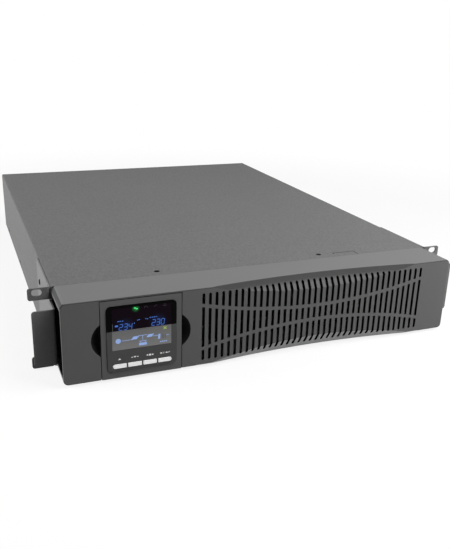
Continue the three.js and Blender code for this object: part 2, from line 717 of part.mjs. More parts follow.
// Punched guard rings over a fan.
function guardSlots(x) {
  const shapes = [];
  for (let ring = 0; ring < GUARD_RINGS; ring += 1) {
    const radius = FAN_BORE - GUARD_EDGE - ring * GUARD_PITCH;
    const inner = radius - GUARD_SLOT / 2;
    const outer = radius + GUARD_SLOT / 2;
    const spare = GUARD_SPOKE / 2 / radius;
    for (let quarter = 0; quarter < 4; quarter += 1) {
      const start = ((quarter + 0.5) * Math.PI) / 2 + spare;
      const end = ((quarter + 1.5) * Math.PI) / 2 - spare;
      const shape = new THREE.Shape();
      shape.absarc(x, MID_HEIGHT, outer, start, end, false);
      shape.absarc(x, MID_HEIGHT, inner, end, start, true);
      shapes.push(shape);
    }
  }
  return panel(shapes, REAR_INSIDE - 1, REAR_FACE + 1);
}

function fittingHole({ x, z, width, height }) {
  const spare = 2 * (FIT - FLANGE);
  return centred(x, z, width + spare, height + spare);
}

function slotScrewX(side) {
  return SLOT_X + side * (SLOT_COVER_WIDTH / 2 - SLOT_SCREW_INSET);
}

function slotScrewHole(side, y0, y1) {
  return bar("y", SCREW_SHANK + FIT, y0, y1, slotScrewX(side), SLOT_COVER.z, 8);
}

function rearPanel() {
  const wall = block(-CASE_INSIDE, CASE_INSIDE, REAR_INSIDE, REAR_FACE, TRAY_FLOOR, CASE_CEILING);
  const slotOpening = centred(
    SLOT_COVER.x,
    SLOT_COVER.z,
    SLOT_COVER_WIDTH - 2 * (SLOT_SCREW_INSET + SCREW_HEAD) - SLOT_SEAT,
    SLOT_COVER_HEIGHT - 2 * SLOT_SEAT_TOP,
  );
  const fittings = [SERIAL_PORT, USB_PORT, EPO_PORT, BATTERY_PORT, ...OUTLET_ROWS, LARGE_OUTLET, INLET];
  const through = [REAR_INSIDE - 1, REAR_FACE + 1];
  return without(wall.add(coverFlange(REAR_FACE - FLANGE_DEPTH, REAR_FACE)), [
    panel([slotOpening, ...fittings.map(fittingHole)], ...through),
    ...FAN_X.map(guardSlots),
    bar("y", BREAKER_NUT - FLANGE + FIT, ...through, BREAKER_X, BREAKER_Z),
    ...[-1, 1].map((side) => slotScrewHole(side, ...through)),
  ]);
}

// Front bezel.

// The part of the shell in front of a face that folds back along a bowed line. The fold is
// deepest in the middle of the grille. side is 1 above, -1 below; wall moves the face inwards.
function foldWedge(side, wall, stations) {
  const length = Math.hypot(FOLD_HEIGHT, FOLD_SETBACK);
  const slope = FOLD_HEIGHT / FOLD_SETBACK;
  const rings = [];
  const height = (drop) => (side > 0 ? BODY_HEIGHT - drop : BEZEL_LIFT + drop);
  for (let station = 0; station <= stations; station += 1) {
    const along = (2 * station) / stations - 1;
    const share = 1 - along * along;
    const x = GRILLE_X + side * along * (GRILLE_HALF - FOLD_END);
    const drop = FOLD_HEIGHT * share + (wall * length) / FOLD_SETBACK;
    const spare = 2;
    rings.push([
      [x, -spare, height(drop + spare * slope)],
      [x, (drop + spare) / slope, height(-spare)],
      [x, -spare, height(-spare)],
    ]);
  }
  return loft(rings);
}

function ribRise(x) {
  const share = (x - GRILLE_X) / GRILLE_HALF;
  return RIB_MIDDLE_RISE + (RIB_END_RISE - RIB_MIDDLE_RISE) * share * share;
}

// The half round end of a slot, from one side to the other.
function slotTip(shape, x, z, start) {
  for (let step = 0; step <= SLOT_TIP_STEPS; step += 1) {
    const angle = start + (Math.PI * step) / SLOT_TIP_STEPS;
    const reach = SLOT_WIDTH / 2;
    shape.lineTo(x + reach * Math.cos(angle), z + reach * Math.sin(angle));
  }
}

// The slots of one column: one above the upper rib, one between the ribs, one below.
function columnSlots(x) {
  const half = SLOT_WIDTH / 2;
  const left = x - half;
  const right = x + half;
  const tip = BODY_HEIGHT - SLOT_MARGIN - half - BEZEL_MIDDLE;
  const outer = (at) => ribRise(at) + RIB_THICKNESS / 2;
  const inner = (at) => ribRise(at) - RIB_THICKNESS / 2;
  const above = new THREE.Shape();
  above.moveTo(left, BEZEL_MIDDLE + outer(left));
  above.lineTo(right, BEZEL_MIDDLE + outer(right));
  slotTip(above, x, BEZEL_MIDDLE + tip, 0);
  const between = new THREE.Shape();
  between.moveTo(left, BEZEL_MIDDLE - inner(left));
  between.lineTo(right, BEZEL_MIDDLE - inner(right));
  between.lineTo(right, BEZEL_MIDDLE + inner(right));
  between.lineTo(left, BEZEL_MIDDLE + inner(left));
  const below = new THREE.Shape();
  below.moveTo(right, BEZEL_MIDDLE - outer(right));
  below.lineTo(left, BEZEL_MIDDLE - outer(left));
  slotTip(below, x, BEZEL_MIDDLE - tip, Math.PI);
  return [above, between, below];
}

function grilleSlots() {
  const shapes = [];
  for (let column = 0; column < GRILLE_COLUMNS; column += 1) {
    const x = GRILLE_X + (column - (GRILLE_COLUMNS - 1) / 2) * GRILLE_PITCH;
    shapes.push(...columnSlots(x));
  }
  return panel(shapes, -1, FOLD_SETBACK + 2 * BEZEL_FACE_WALL);
}

// The bowl that a finger goes into beside the display, as the ball that scoops it out.
function scoopBall(side) {
  const ring = (SCOOP_HALF_HEIGHT ** 2 + SCOOP_REACH ** 2) / (2 * SCOOP_REACH);
  const inset = ring - SCOOP_REACH;
  const ahead = (ring ** 2 - inset ** 2 - SCOOP_DEPTH ** 2) / (2 * SCOOP_DEPTH);
  const ball = new THREE.SphereGeometry(Math.hypot(ring, ahead), 32, 16);
  const edge = side < 0 ? DISPLAY_LEFT - DISPLAY_GAP : DISPLAY_RIGHT + DISPLAY_GAP;
  ball.translate(edge - side * inset, -ahead, BEZEL_MIDDLE);
  return solid(ball);
}

function scoopBacking(side) {
  const edge = side < 0 ? DISPLAY_LEFT : DISPLAY_RIGHT;
  const far = edge + side * (DISPLAY_GAP + SCOOP_REACH + SCOOP_WALL);
  const tall = SCOOP_HALF_HEIGHT + SCOOP_WALL;
  return block(
    Math.min(edge, far),
    Math.max(edge, far),
    BEZEL_FACE_WALL / 2,
    SCOOP_DEPTH + SCOOP_WALL,
    BEZEL_MIDDLE - tall,
    BEZEL_MIDDLE + tall,
  );
}

function pocket(side, grow) {
  const outer = side * (HALF_BODY + 2);
  const inner = side * (BEZEL_HALF - POCKET_DEPTH - grow);
  return block(
    Math.min(outer, inner),
    Math.max(outer, inner),
    POCKET_FRONT - grow,
    BEZEL_DEPTH + 1,
    BEZEL_LIFT + POCKET_MARGIN - grow,
    BODY_HEIGHT - POCKET_MARGIN + grow,
  );
}

function bezelShell() {
  const geometry = new THREE.ExtrudeGeometry(
    rectangle(-BEZEL_HALF, BEZEL_HALF, BEZEL_LIFT, BODY_HEIGHT, BEZEL_CORNER),
    {
      depth: BEZEL_DEPTH,
      bevelThickness: BEZEL_EDGE,
      bevelSize: BEZEL_EDGE,
      bevelOffset: -BEZEL_EDGE,
      bevelSegments: 2,
      curveSegments: 3,
    },
  );
  geometry.rotateX(Math.PI / 2);
  geometry.translate(0, BEZEL_DEPTH + BEZEL_EDGE, 0);
  const behind = block(-HALF_BODY, HALF_BODY, BEZEL_DEPTH, 2 * BEZEL_DEPTH, -1, BODY_HEIGHT + 1);
  return solid(geometry).subtract(behind);
}

function frontBezel() {
  const half = BEZEL_HALF - BEZEL_WALL;
  const low = BEZEL_LIFT + BEZEL_WALL;
  const high = BODY_HEIGHT - BEZEL_WALL;
  const inside = rectangle(-half, half, low, high, BEZEL_INSIDE_CORNER);
  const displayWay = block(
    DISPLAY_LEFT - DISPLAY_GAP,
    DISPLAY_RIGHT + DISPLAY_GAP,
    -1,
    DISPLAY_DEPTH + SOCKET_WALL,
    -1,
    DISPLAY_TOP + DISPLAY_GAP,
  );
  const socket = block(
    DISPLAY_LEFT - DISPLAY_GAP - SOCKET_WALL,
    DISPLAY_RIGHT + DISPLAY_GAP + SOCKET_WALL,
    0,
    DISPLAY_DEPTH + SOCKET_WALL,
    -1,
    BODY_HEIGHT,
  );
  const hollow = without(panel(inside, BEZEL_FACE_WALL, BEZEL_DEPTH + 1), [
    foldWedge(1, BEZEL_FACE_WALL, FOLD_INSIDE_STATIONS),
    foldWedge(-1, BEZEL_FACE_WALL, FOLD_INSIDE_STATIONS),
    pocket(-1, POCKET_WALL),
    pocket(1, POCKET_WALL),
    socket,
    scoopBacking(-1),
    scoopBacking(1),
  ]);
  return without(bezelShell(), [
    hollow,
    foldWedge(1, 0, FOLD_STATIONS),
    foldWedge(-1, 0, FOLD_STATIONS),
    pocket(-1, 0),
    pocket(1, 0),
    displayWay,
    scoopBall(-1),
    scoopBall(1),
    grilleSlots(),
  ]);
}

// Display module.

function keyX(key) {
  return DISPLAY_X + (key - (KEY_COUNT - 1) / 2) * KEY_PITCH;
}

// The keys at the two ends of the row have a round outer end.
function keyShape(key, grow) {
  const x0 = keyX(key) - KEY_WIDTH / 2 - grow;
  const x1 = keyX(key) + KEY_WIDTH / 2 + grow;
  const z0 = KEY_Z - KEY_HEIGHT / 2 - grow;
  const z1 = KEY_Z + KEY_HEIGHT / 2 + grow;
  const round = (z1 - z0) / 2;
  const shape = new THREE.Shape();
  if (key === 0) {
    shape.moveTo(x1, z0);
    shape.lineTo(x1, z1);
    shape.absarc(x0 + round, KEY_Z, round, Math.PI / 2, 1.5 * Math.PI);
    return shape;
  }
  if (key === KEY_COUNT - 1) {
    shape.moveTo(x0, z1);
    shape.lineTo(x0, z0);
    shape.absarc(x1 - round, KEY_Z, round, -Math.PI / 2, Math.PI / 2);
    return shape;
  }
  return rectangle(x0, x1, z0, z1);
}

function keyWays() {
  const shapes = [];
  for (let key = 0; key < KEY_COUNT; key += 1) {
    shapes.push(keyShape(key, FIT));
  }
  return panel(shapes, -2 * OVERLAY_THICKNESS, DISPLAY_FACE_WALL + 1, 3);
}

// A key cap with a flange that keeps it in. It has its travel free behind it, up to the board.
function displayKey(key) {
  const front = DISPLAY_FACE_WALL + FIT;
  const back = front + KEY_FLANGE;
  const spare = 2 * KEY_FLANGE_SIDE;
  const flange = centred(keyX(key), KEY_Z, KEY_WIDTH + spare, KEY_HEIGHT + spare);
  return joined([panel(keyShape(key, 0), -FRONT_REACH, back, 3), panel(flange, front, back)]);
}

function screenWindow(grow) {
  const half = SCREEN_WIDTH / 2 + grow;
  return rectangle(DISPLAY_X - half, DISPLAY_X + half, SCREEN_LOW - grow, SCREEN_HIGH + grow);
}

function overlayOutline(grow) {
  const half = OVERLAY_HALF + grow;
  return rectangle(
    DISPLAY_X - half,
    DISPLAY_X + half,
    OVERLAY_LOW - grow,
    OVERLAY_HIGH + grow,
    OVERLAY_CORNER + grow,
  );
}

function displayInside(y0, y1) {
  return block(
    DISPLAY_LEFT + DISPLAY_WALL,
    DISPLAY_RIGHT - DISPLAY_WALL,
    y0,
    y1,
    DISPLAY_LIFT + DISPLAY_WALL,
    DISPLAY_TOP - DISPLAY_WALL,
  );
}

function displayPosts() {
  const post = DISPLAY_POST;
  const made = [];
  for (const x of [DISPLAY_LEFT + DISPLAY_WALL, DISPLAY_RIGHT - DISPLAY_WALL - post]) {
    for (const z of [DISPLAY_LIFT + DISPLAY_WALL, DISPLAY_TOP - DISPLAY_WALL - post]) {
      made.push(block(x, x + post, DISPLAY_FACE_WALL - 1, DISPLAY_BOARD - FIT, z, z + post));
    }
  }
  return joined(made);
}

function displayHousing() {
  const outside = block(DISPLAY_LEFT, DISPLAY_RIGHT, 0, DISPLAY_DEPTH, DISPLAY_LIFT, DISPLAY_TOP);
  const hollow = displayInside(DISPLAY_FACE_WALL, DISPLAY_DEPTH + 1).subtract(displayPosts());
  const recessFloor = OVERLAY_THICKNESS - OVERLAY_PROUD + FIT;
  return without(outside, [
    hollow,
    panel(overlayOutline(FIT), -1, recessFloor, 3),
    panel(screenWindow(FIT), -1, DISPLAY_FACE_WALL + 1),
    keyWays(),
  ]);
}

function displayOverlay() {
  const plate = panel(overlayOutline(0), -OVERLAY_PROUD, OVERLAY_THICKNESS - OVERLAY_PROUD, 3);
  const through = 2 * OVERLAY_THICKNESS;
  return without(plate, [panel(screenWindow(FIT), -through, through), keyWays()]);
}

function displayScreen() {
  return panel(screenWindow(0), -OVERLAY_PROUD, DISPLAY_BOARD - FIT);
}

function displayBoard() {
  return block(
    DISPLAY_LEFT + DISPLAY_WALL + FIT,
    DISPLAY_RIGHT - DISPLAY_WALL - FIT,
    DISPLAY_BOARD,
    DISPLAY_BOARD + BOARD_THICKNESS,
    DISPLAY_LIFT + DISPLAY_WALL + FIT,
    DISPLAY_TOP - DISPLAY_WALL - FIT,
  );
}

// The back of the module, with a hole for its lead.
function displayBack() {
  const half = DISPLAY_WIDTH / 2 - DISPLAY_WALL - FIT;
  const low = DISPLAY_LIFT + DISPLAY_WALL + FIT;
  const high = DISPLAY_TOP - DISPLAY_WALL - FIT;
  const plate = rectangle(DISPLAY_X - half, DISPLAY_X + half, low, high);
  plate.holes.push(
    centred(DISPLAY_X, MID_HEIGHT, LEAD_HOLE_WIDTH, LEAD_HOLE_HEIGHT, LEAD_HOLE_CORNER),
  );
  return panel(plate, DISPLAY_DEPTH - DISPLAY_WALL, DISPLAY_DEPTH);
}

// Rack ears. The left one is drawn, and side mirrors it.

function earPlan(face) {
  const inner = HALF_BODY + FIT;
  const outer = inner + EAR_SHEET;
  const bend = 2 * EAR_SHEET;
  const shape = new THREE.Shape();
  shape.moveTo(RACK_WIDTH / 2, face);
  shape.lineTo(RACK_WIDTH / 2, face + EAR_SHEET);
  shape.lineTo(outer + bend - EAR_SHEET, face + EAR_SHEET);
  shape.absarc(outer + bend - EAR_SHEET, face + bend, bend - EAR_SHEET, -Math.PI / 2, Math.PI, true);
  shape.lineTo(outer, EAR_LEG_END);
  shape.lineTo(inner, EAR_LEG_END);
  shape.lineTo(inner, face + bend);
  shape.absarc(inner + bend, face + bend, bend, Math.PI, 1.5 * Math.PI);
  return shape;
}

function earTab(side) {
  const middle = MID_HEIGHT + side * (MID_HEIGHT - EAR_MARGIN - EAR_TAB_HEIGHT / 2);
  const half = EAR_TAB_HEIGHT / 2;
  return rectangle(0, RACK_WIDTH / 2, middle - half, middle + half, EAR_CORNER);
}

function earSlot(side) {
  const x = RACK_WIDTH / 2 - EAR_SLOT_INSET;
  const z = MID_HEIGHT + side * (MID_HEIGHT - EAR_SLOT_EDGE);
  return centred(x, z, EAR_SLOT_WIDTH, EAR_SLOT_HEIGHT, EAR_SLOT_HEIGHT / 2 - 0.01);
}

function earScrewHoles() {
  const x = HALF_BODY + FIT + EAR_SHEET;
  return EAR_SCREW_SETBACKS.flatMap((setback) =>
    [EAR_SCREW_MARGIN, BODY_HEIGHT - EAR_SCREW_MARGIN].map((z) =>
      screwShape(FIT, Math.PI / 2, x, EAR_FACE + setback, z),
    ),
  );
}

// The side leg, as its outline seen from the side, run out through the sheet.
function earLeg(low, high) {
  const reach = HALF_BODY + 2 * EAR_REACH;
  const leg = rectangle(EAR_FACE + EAR_SHEET, EAR_LEG_END, low, high, EAR_CORNER);
  const geometry = new THREE.ExtrudeGeometry(leg, {
    depth: reach,
    bevelEnabled: false,
    curveSegments: 2,
  });
  const sideways = new THREE.Matrix4().makeBasis(
    new THREE.Vector3(0, 1, 0),
    new THREE.Vector3(0, 0, 1),
    new THREE.Vector3(1, 0, 0),
  );
  geometry.applyMatrix4(sideways);
  return solid(geometry);
}

function rightEar() {
  const low = EAR_MARGIN;
  const high = BODY_HEIGHT - EAR_MARGIN;
  const bandBack = EAR_FACE + 3 * EAR_SHEET;
  const tabs = panel([earTab(1), earTab(-1)], EAR_FACE - EAR_SHEET, bandBack);
  const sheetSide = HALF_BODY + FIT + EAR_SHEET;
  const side = block(0, sheetSide, bandBack - EAR_SHEET, EAR_LEG_END, low, high);
  const tabbed = slab(earPlan(EAR_FACE), low, high).intersect(tabs.add(side.intersect(earLeg(low, high))));
  const gripHigh = BODY_HEIGHT - GRIP_MARGIN;
  const gripFace = rectangle(0, RACK_WIDTH / 2, GRIP_MARGIN, gripHigh, GRIP_CORNER);
  const grip = slab(earPlan(GRIP_FACE), GRIP_MARGIN, gripHigh)
    .intersect(panel(gripFace, GRIP_FACE - EAR_SHEET, EAR_LEG_END));
  return without(tabbed.add(grip), [
    panel([earSlot(1), earSlot(-1)], EAR_FACE - EAR_SHEET, bandBack),
    ...earScrewHoles(),
  ]);
}

// Battery pack.

function batteryTray() {
  const foot = TRAY_FLOOR + BATTERY_TRAY_LIP;
  const profile = channel(PACK_X, PACK_HALF_WIDTH, foot, TRAY_FLOOR, COVER_BEND);
  return panel(profile, TRAY_FRONT + FIT, PACK_END);
}

// A sealed block on its side: the case, its lid a little smaller, and two tab terminals.
function battery(column, row) {
  const x = PACK_X + (column - (BATTERY_COLUMNS - 1) / 2) * (BATTERY_LENGTH + FIT);
  const half = BATTERY_LENGTH / 2;
  const step = BATTERY_LID_STEP;
  const front = BATTERY_START + row * BATTERY_ROW_PITCH;
  const lid = front + TERMINAL_LENGTH;
  const body = lid + BATTERY_LID;
  const low = TRAY_FLOOR + SHEET + FIT;
  const high = low + BATTERY_HEIGHT;
  const tabLow = low + TERMINAL_RISE;
  const tab = (left) =>
    block(left, left + TERMINAL_THICKNESS, front, lid + 1, tabLow, tabLow + TERMINAL_WIDTH);
  return joined([
    block(x - half, x + half, body, lid + BATTERY_BODY, low, high),
    block(x - half + step, x + half - step, lid, body + 1, low + step, high - step),
    tab(x - half + TERMINAL_INSET),
    tab(x + half - TERMINAL_INSET - TERMINAL_THICKNESS),
  ]);
}

// Circuit boards and what they carry.

// A place on a board, as a share of its length.
function alongMain(share) {
  return MAIN_BOARD_START + share * MAIN_BOARD_LENGTH;
}

function alongFilter(share) {
  return THREE.MathUtils.lerp(FILTER_BOARD_START, FILTER_BOARD_END, share);
}

function heatsink(y0) {
  const left = HEATSINK_X - HEATSINK_LENGTH / 2;
  const right = HEATSINK_X + HEATSINK_LENGTH / 2;
  const y1 = y0 + HEATSINK_DEPTH;
  const z0 = BOARD_TOP + FIT;
  const pitch = (HEATSINK_HEIGHT - HEATSINK_FIN) / (HEATSINK_FINS - 1);
  const spaces = [];
  for (let fin = 0; fin + 1 < HEATSINK_FINS; fin += 1) {
    const low = z0 + HEATSINK_FIN + fin * pitch;
    const high = low + pitch - HEATSINK_FIN;
    spaces.push(block(left - 1, right + 1, y0 + HEATSINK_BASE, y1 + 1, low, high));
  }
  return without(block(left, right, y0, y1, z0, z0 + HEATSINK_HEIGHT), spaces);
}

// A can capacitor with a rolled groove near its foot.
function capacitor(number) {
  const r = CAPACITOR_RADIUS;
  const h = CAPACITOR_HEIGHT;
  const roll = CAPACITOR_ROLL;
  const [grooveLow, groove, grooveHigh] = CAPACITOR_GROOVE;
  const profile = [
    [0, 0],
    [r, 0],
    [r, grooveLow],
    [r - roll, groove],
    [r, grooveHigh],
    [r, h - roll],
    [r - roll, h],
    [0, h],
  ].map(([across, up]) => new THREE.Vector2(across, up));
  const lathe = new THREE.LatheGeometry(profile, 12);
  lathe.rotateX(Math.PI / 2);
  const step = 2 * CAPACITOR_RADIUS + CAPACITOR_SPACE;
  const x = HEATSINK_X + (number - (CAPACITOR_COUNT - 1) / 2) * step;
  lathe.translate(x, MAIN_BOARD_MIDDLE, BOARD_TOP + FIT);
  return solid(lathe);
}

// A toroidal choke lying on its board.
function toroid(x, y) {
  const section = (TOROID_RADIUS - TOROID_HOLE) / 2;
  const sides = 8;
  const profile = [];
  for (let side = 0; side <= sides; side += 1) {
    const angle = (2 * Math.PI * side) / sides;
    const across = TOROID_HOLE + section + section * Math.cos(angle);
    profile.push(new THREE.Vector2(across, section * Math.sin(angle)));
  }
  profile[sides].copy(profile[0]);
  const lathe = new THREE.LatheGeometry(profile, 14);
  lathe.rotateX(Math.PI / 2);
  lathe.translate(x, y, BOARD_TOP + FIT + section);
  return solid(lathe);
}

// A ferrite transformer: the core frame and the winding that shows above and below its limbs.
function transformer(x, y) {
  const low = BOARD_TOP + FIT;
  const coreLow = low + WINDING_OVERHANG;
  const coreHigh = coreLow + CORE_HEIGHT;
  const half = CORE_WIDTH / 2;
  const deep = CORE_DEPTH / 2;
  const winding = bar("z", WINDING_RADIUS, low, coreHigh + WINDING_OVERHANG, x, y, 12);
  return winding.add(block(x - half, x + half, y - deep, y + deep, coreLow, coreHigh));
}

// A board that stands upright along the front edge of the main board.
function controlBoard() {
  const x = MAIN_BOARD_HALF / 2;
  const half = CONTROL_BOARD_WIDTH / 2;
  const y = MAIN_BOARD_START + CONTROL_BOARD_SETBACK;
  const z = BOARD_TOP + FIT;
  return block(x - half, x + half, y, y + BOARD_THICKNESS, z, z + CONTROL_BOARD_HEIGHT);
}

// Fans.

function fanFrame(x) {
  const half = FAN_SIZE / 2;
  const through = [FAN_FRONT - 1, FAN_BACK + 1];
  const reach = half - FAN_SCREW_INSET;
  const holes = [-reach, reach].flatMap((across) =>
    [-reach, reach].map((up) =>
      bar("y", FAN_SCREW_RADIUS, ...through, x + across, MID_HEIGHT + up, 6),
    ),
  );
  const outline = centred(x, MID_HEIGHT, FAN_SIZE, FAN_SIZE, FAN_CORNER);
  const bore = bar("y", FAN_BORE, ...through, x, MID_HEIGHT, 28);
  const body = without(panel(outline, FAN_FRONT, FAN_BACK), [bore, ...holes]);
  const hub = bar("y", FAN_HUB, FAN_BACK - FAN_HUB_PLATE, FAN_BACK, x, MID_HEIGHT, 16);
  const struts = [];
  for (let strut = 0; strut < 4; strut += 1) {
    const length = FAN_BORE - FAN_HUB + FAN_STRUT;
    const geometry = new THREE.BoxGeometry(length, FAN_STRUT, FAN_STRUT);
    geometry.translate((FAN_BORE + FAN_HUB) / 2, FAN_BACK - FAN_STRUT / 2, 0);
    geometry.rotateY(((strut + 0.5) * Math.PI) / 2);
    geometry.translate(x, 0, MID_HEIGHT);
    struts.push(solid(geometry));
  }
  return joined([body, hub, ...struts]);
}

// One blade: a thin plate that twists from hub to tip, lofted through three sections.
function fanBlade(turn, depth, x) {
  const half = FAN_BLADE / 2;
  const rings = [0, 0.5, 1].map((share) => {
    const radius = THREE.MathUtils.lerp(FAN_HUB - FAN_BLADE, FAN_BORE - FAN_TIP_GAP, share);
    const chord = THREE.MathUtils.lerp(...FAN_CHORDS, share);
    const tilt = THREE.MathUtils.lerp(...FAN_TILTS, share);
    const corners = [
      [-chord / 2, half],
      [chord / 2, half],
      [chord / 2, -half],
      [-chord / 2, -half],
    ];
    return corners.map(([along, across]) => {
      const swept = along * Math.cos(tilt) - across * Math.sin(tilt);
      const deep = along * Math.sin(tilt) + across * Math.cos(tilt);
      const angle = turn + swept / radius;
      return [x + radius * Math.cos(angle), depth + deep, MID_HEIGHT + radius * Math.sin(angle)];
    });
  });
  return loft(rings);
}

function fanRotor(x) {
  const back = FAN_BACK - FAN_HUB_PLATE - FIT;
  const front = FAN_FRONT + 1;
  const middle = (front + back) / 2;
  const pieces = [bar("y", FAN_HUB, front, back, x, MID_HEIGHT, 20)];
  for (let blade = 0; blade < FAN_BLADES; blade += 1) {
    pieces.push(fanBlade((2 * Math.PI * blade) / FAN_BLADES, middle, x));
  }
  return joined(pieces);
}

// Rear fittings. Each has a flange outside the panel and a body that passes through it.

function flanged({ x, z, width, height }, depth) {
  const flange = centred(x, z, width, height, FLANGE_CORNER);
  const body = centred(x, z, width - 2 * FLANGE, height - 2 * FLANGE);
  return joined([
    panel(flange, FITTING_BACK, FITTING_FACE),
    panel(body, FITTING_BACK - depth, FITTING_FACE - FLANGE / 2),
  ]);
}

// The outline of a coupler's mouth: a rectangle with its two upper corners cut off.
function couplerShape(x, z, [width, height, cut]) {
  const left = x - width / 2;
  const right = x + width / 2;
  const low = z - height / 2;
  const high = z + height / 2;
  const shape = new THREE.Shape();
  shape.moveTo(left, low);
  shape.lineTo(right, low);
  shape.lineTo(right, high - cut);
  shape.lineTo(right - cut, high);
  shape.lineTo(left + cut, high);
  shape.lineTo(left, high - cut);
  shape.closePath();
  return shape;
}

// A socket recess with a core that has three contact slots.
function outletRecess(x, z, { mouth, core, slot, spread }) {
  const recessFloor = FITTING_FACE - RECESS_DEPTH;
  const contacts = [
    centred(x - spread, z - LIVE_DROP, ...slot),
    centred(x + spread, z - LIVE_DROP, ...slot),
    centred(x, z + EARTH_RISE, ...slot),
  ];
  const hollow = panel(couplerShape(x, z, mouth), recessFloor, FITTING_FACE + 1);
  const pillar = panel(couplerShape(x, z, core), recessFloor - 1, FITTING_FACE - CORE_SETBACK);
  return hollow.subtract(pillar).add(panel(contacts, recessFloor, FITTING_FACE + 1));
}

function outletBlock(row) {
  const cuts = [];
  for (let outlet = 0; outlet < OUTLET_COUNT; outlet += 1) {
    const x = OUTLETS_X + (outlet - (OUTLET_COUNT - 1) / 2) * OUTLET_PITCH;
    cuts.push(outletRecess(x, row.z, OUTLET));
  }
  return without(flanged(row, LARGE_DEPTH), cuts);
}

function largeOutlet() {
  const recess = outletRecess(LARGE_OUTLET.x, LARGE_OUTLET.z, OUTLET_LARGE);
  return flanged(LARGE_OUTLET, LARGE_DEPTH).subtract(recess);
}

// The mains inlet: a recess with three flat pins.
function inletSocket() {
  const { x, z } = INLET;
  const recessFloor = FITTING_FACE - INLET_DEPTH;
  const recess = panel(couplerShape(x, z, INLET_MOUTH), recessFloor, FITTING_FACE + 1);
  const pins = INLET_PIN_PLACES.map(([across, up]) => centred(x + across, z + up, ...INLET_PIN));
  const standing = panel(pins, recessFloor - 1, FITTING_FACE - INLET_PIN_SETBACK);
  return flanged(INLET, LARGE_DEPTH).subtract(recess).add(standing);
}

function serialPort() {
  const { x, z } = SERIAL_PORT;
  const [width, height, cut] = SERIAL_SHELL;
  const wall = 2 * SERIAL_SHELL_WALL;
  const front = FITTING_FACE + SERIAL_PROUD;
  const shell = panel(couplerShape(x, z, SERIAL_SHELL), FITTING_BACK, front);
  const inside = couplerShape(x, z, [width - wall, height - wall, cut - SERIAL_SHELL_WALL / 2]);
  const posts = [-SERIAL_POST_X, SERIAL_POST_X].map((across) =>
    bar("y", SERIAL_POST_RADIUS, FITTING_BACK, front, x + across, z, 6),
  );
  return joined([flanged(SERIAL_PORT, SMALL_DEPTH), shell, ...posts])
    .subtract(panel(inside, FITTING_FACE - 1, front + 1));
}

function usbPort() {
  const { x, z } = USB_PORT;
  const floor = FITTING_FACE - USB_MOUTH_DEPTH;
  const mouth = panel(couplerShape(x, z, USB_MOUTH), floor, FITTING_FACE + 1);
  const tongue = panel(centred(x, z, ...USB_TONGUE), floor - 1, FITTING_FACE - 1);
  return flanged(USB_PORT, SMALL_DEPTH).subtract(mouth).add(tongue);
}

// The two-way terminal for an emergency switch.
function epoPort() {
  const { x, z } = EPO_PORT;
  const ways = [-0.5, 0.5].map((step) => centred(x + step * EPO_PITCH, z, ...EPO_WAY));
  const cut = panel(ways, FITTING_FACE - EPO_WAY_DEPTH, FITTING_FACE + 1);
  return flanged(EPO_PORT, SMALL_DEPTH).subtract(cut);
}

// The socket for an added battery pack: two ways, each with a flat contact.
function batteryPort() {
  const { x, z } = BATTERY_PORT;
  const floor = FITTING_FACE - BATTERY_WAY_DEPTH;
  const heights = [-0.5, 0.5].map((step) => z + step * BATTERY_WAY_PITCH);
  const ways = heights.map((up) => centred(x, up, BATTERY_WAY, BATTERY_WAY));
  const contacts = heights.map((up) => centred(x, up, ...BATTERY_CONTACT));
  return flanged(BATTERY_PORT, LARGE_DEPTH)
    .subtract(panel(ways, floor, FITTING_FACE + 1))
    .add(panel(contacts, floor - 1, FITTING_FACE - INLET_PIN_SETBACK));
}

// The input breaker's bush and nut. Its button lies in, and stays guided when it springs out.
const BREAKER_SEAT = FITTING_FACE - BREAKER_TRAVEL - BREAKER_GUIDE;

function breakerBody() {
  const bush = BREAKER_NUT - FLANGE;
  const floor = BREAKER_SEAT - FIT;
  return joined([
    bar("y", bush, FITTING_BACK - BREAKER_LENGTH, FITTING_FACE, BREAKER_X, BREAKER_Z),
    bar("y", BREAKER_NUT, FITTING_BACK, FITTING_FACE, BREAKER_X, BREAKER_Z, 6),
  ]).subtract(bar("y", BREAKER_BUTTON + FIT, floor, FITTING_FACE + 1, BREAKER_X, BREAKER_Z));
}

function breakerButton() {
  const front = FITTING_FACE + BREAKER_PROUD;
  return bar("y", BREAKER_BUTTON, BREAKER_SEAT, front, BREAKER_X, BREAKER_Z);
}

function slotCover() {
  const { x, z, width, height } = SLOT_COVER;
  const plate = panel(centred(x, z, width, height, SLOT_COVER_CORNER), FITTING_BACK, FITTING_BACK + SHEET);
  return without(plate, [-1, 1].map((side) => slotScrewHole(side, REAR_FACE, FITTING_BACK + 2 * SHEET)));
}

// A thumb screw. Its head reaches furthest back of all the pieces.
function slotScrew(side) {
  const x = slotScrewX(side);
  const headStart = FITTING_BACK + SHEET + FIT;
  return joined([
    bar("y", SLOT_SCREW_HEAD, headStart, BODY_DEPTH + REAR_REACH, x, SLOT_COVER.z, 12),
    bar("y", SCREW_SHANK, REAR_FACE - SCREW_LENGTH, headStart + 1, x, SLOT_COVER.z, 8),
  ]);
}

// Assembly.

place("base_tray", baseTray(), "steelPaint");
place("top_cover", topCover(), "steelPaint");
place("front_bulkhead", frontBulkhead(), "zincSteel");
place("rear_panel", rearPanel(), "steelPaint");
place("battery_door", batteryDoor(), "zincSteel");
place("front_bezel", frontBezel(), "bezelPlastic");

const ear = rightEar();
place("rack_ear_right", ear, "steelPaint");
const leftEar = place("rack_ear_left", ear, "steelPaint");
leftEar.scale.x = -1;

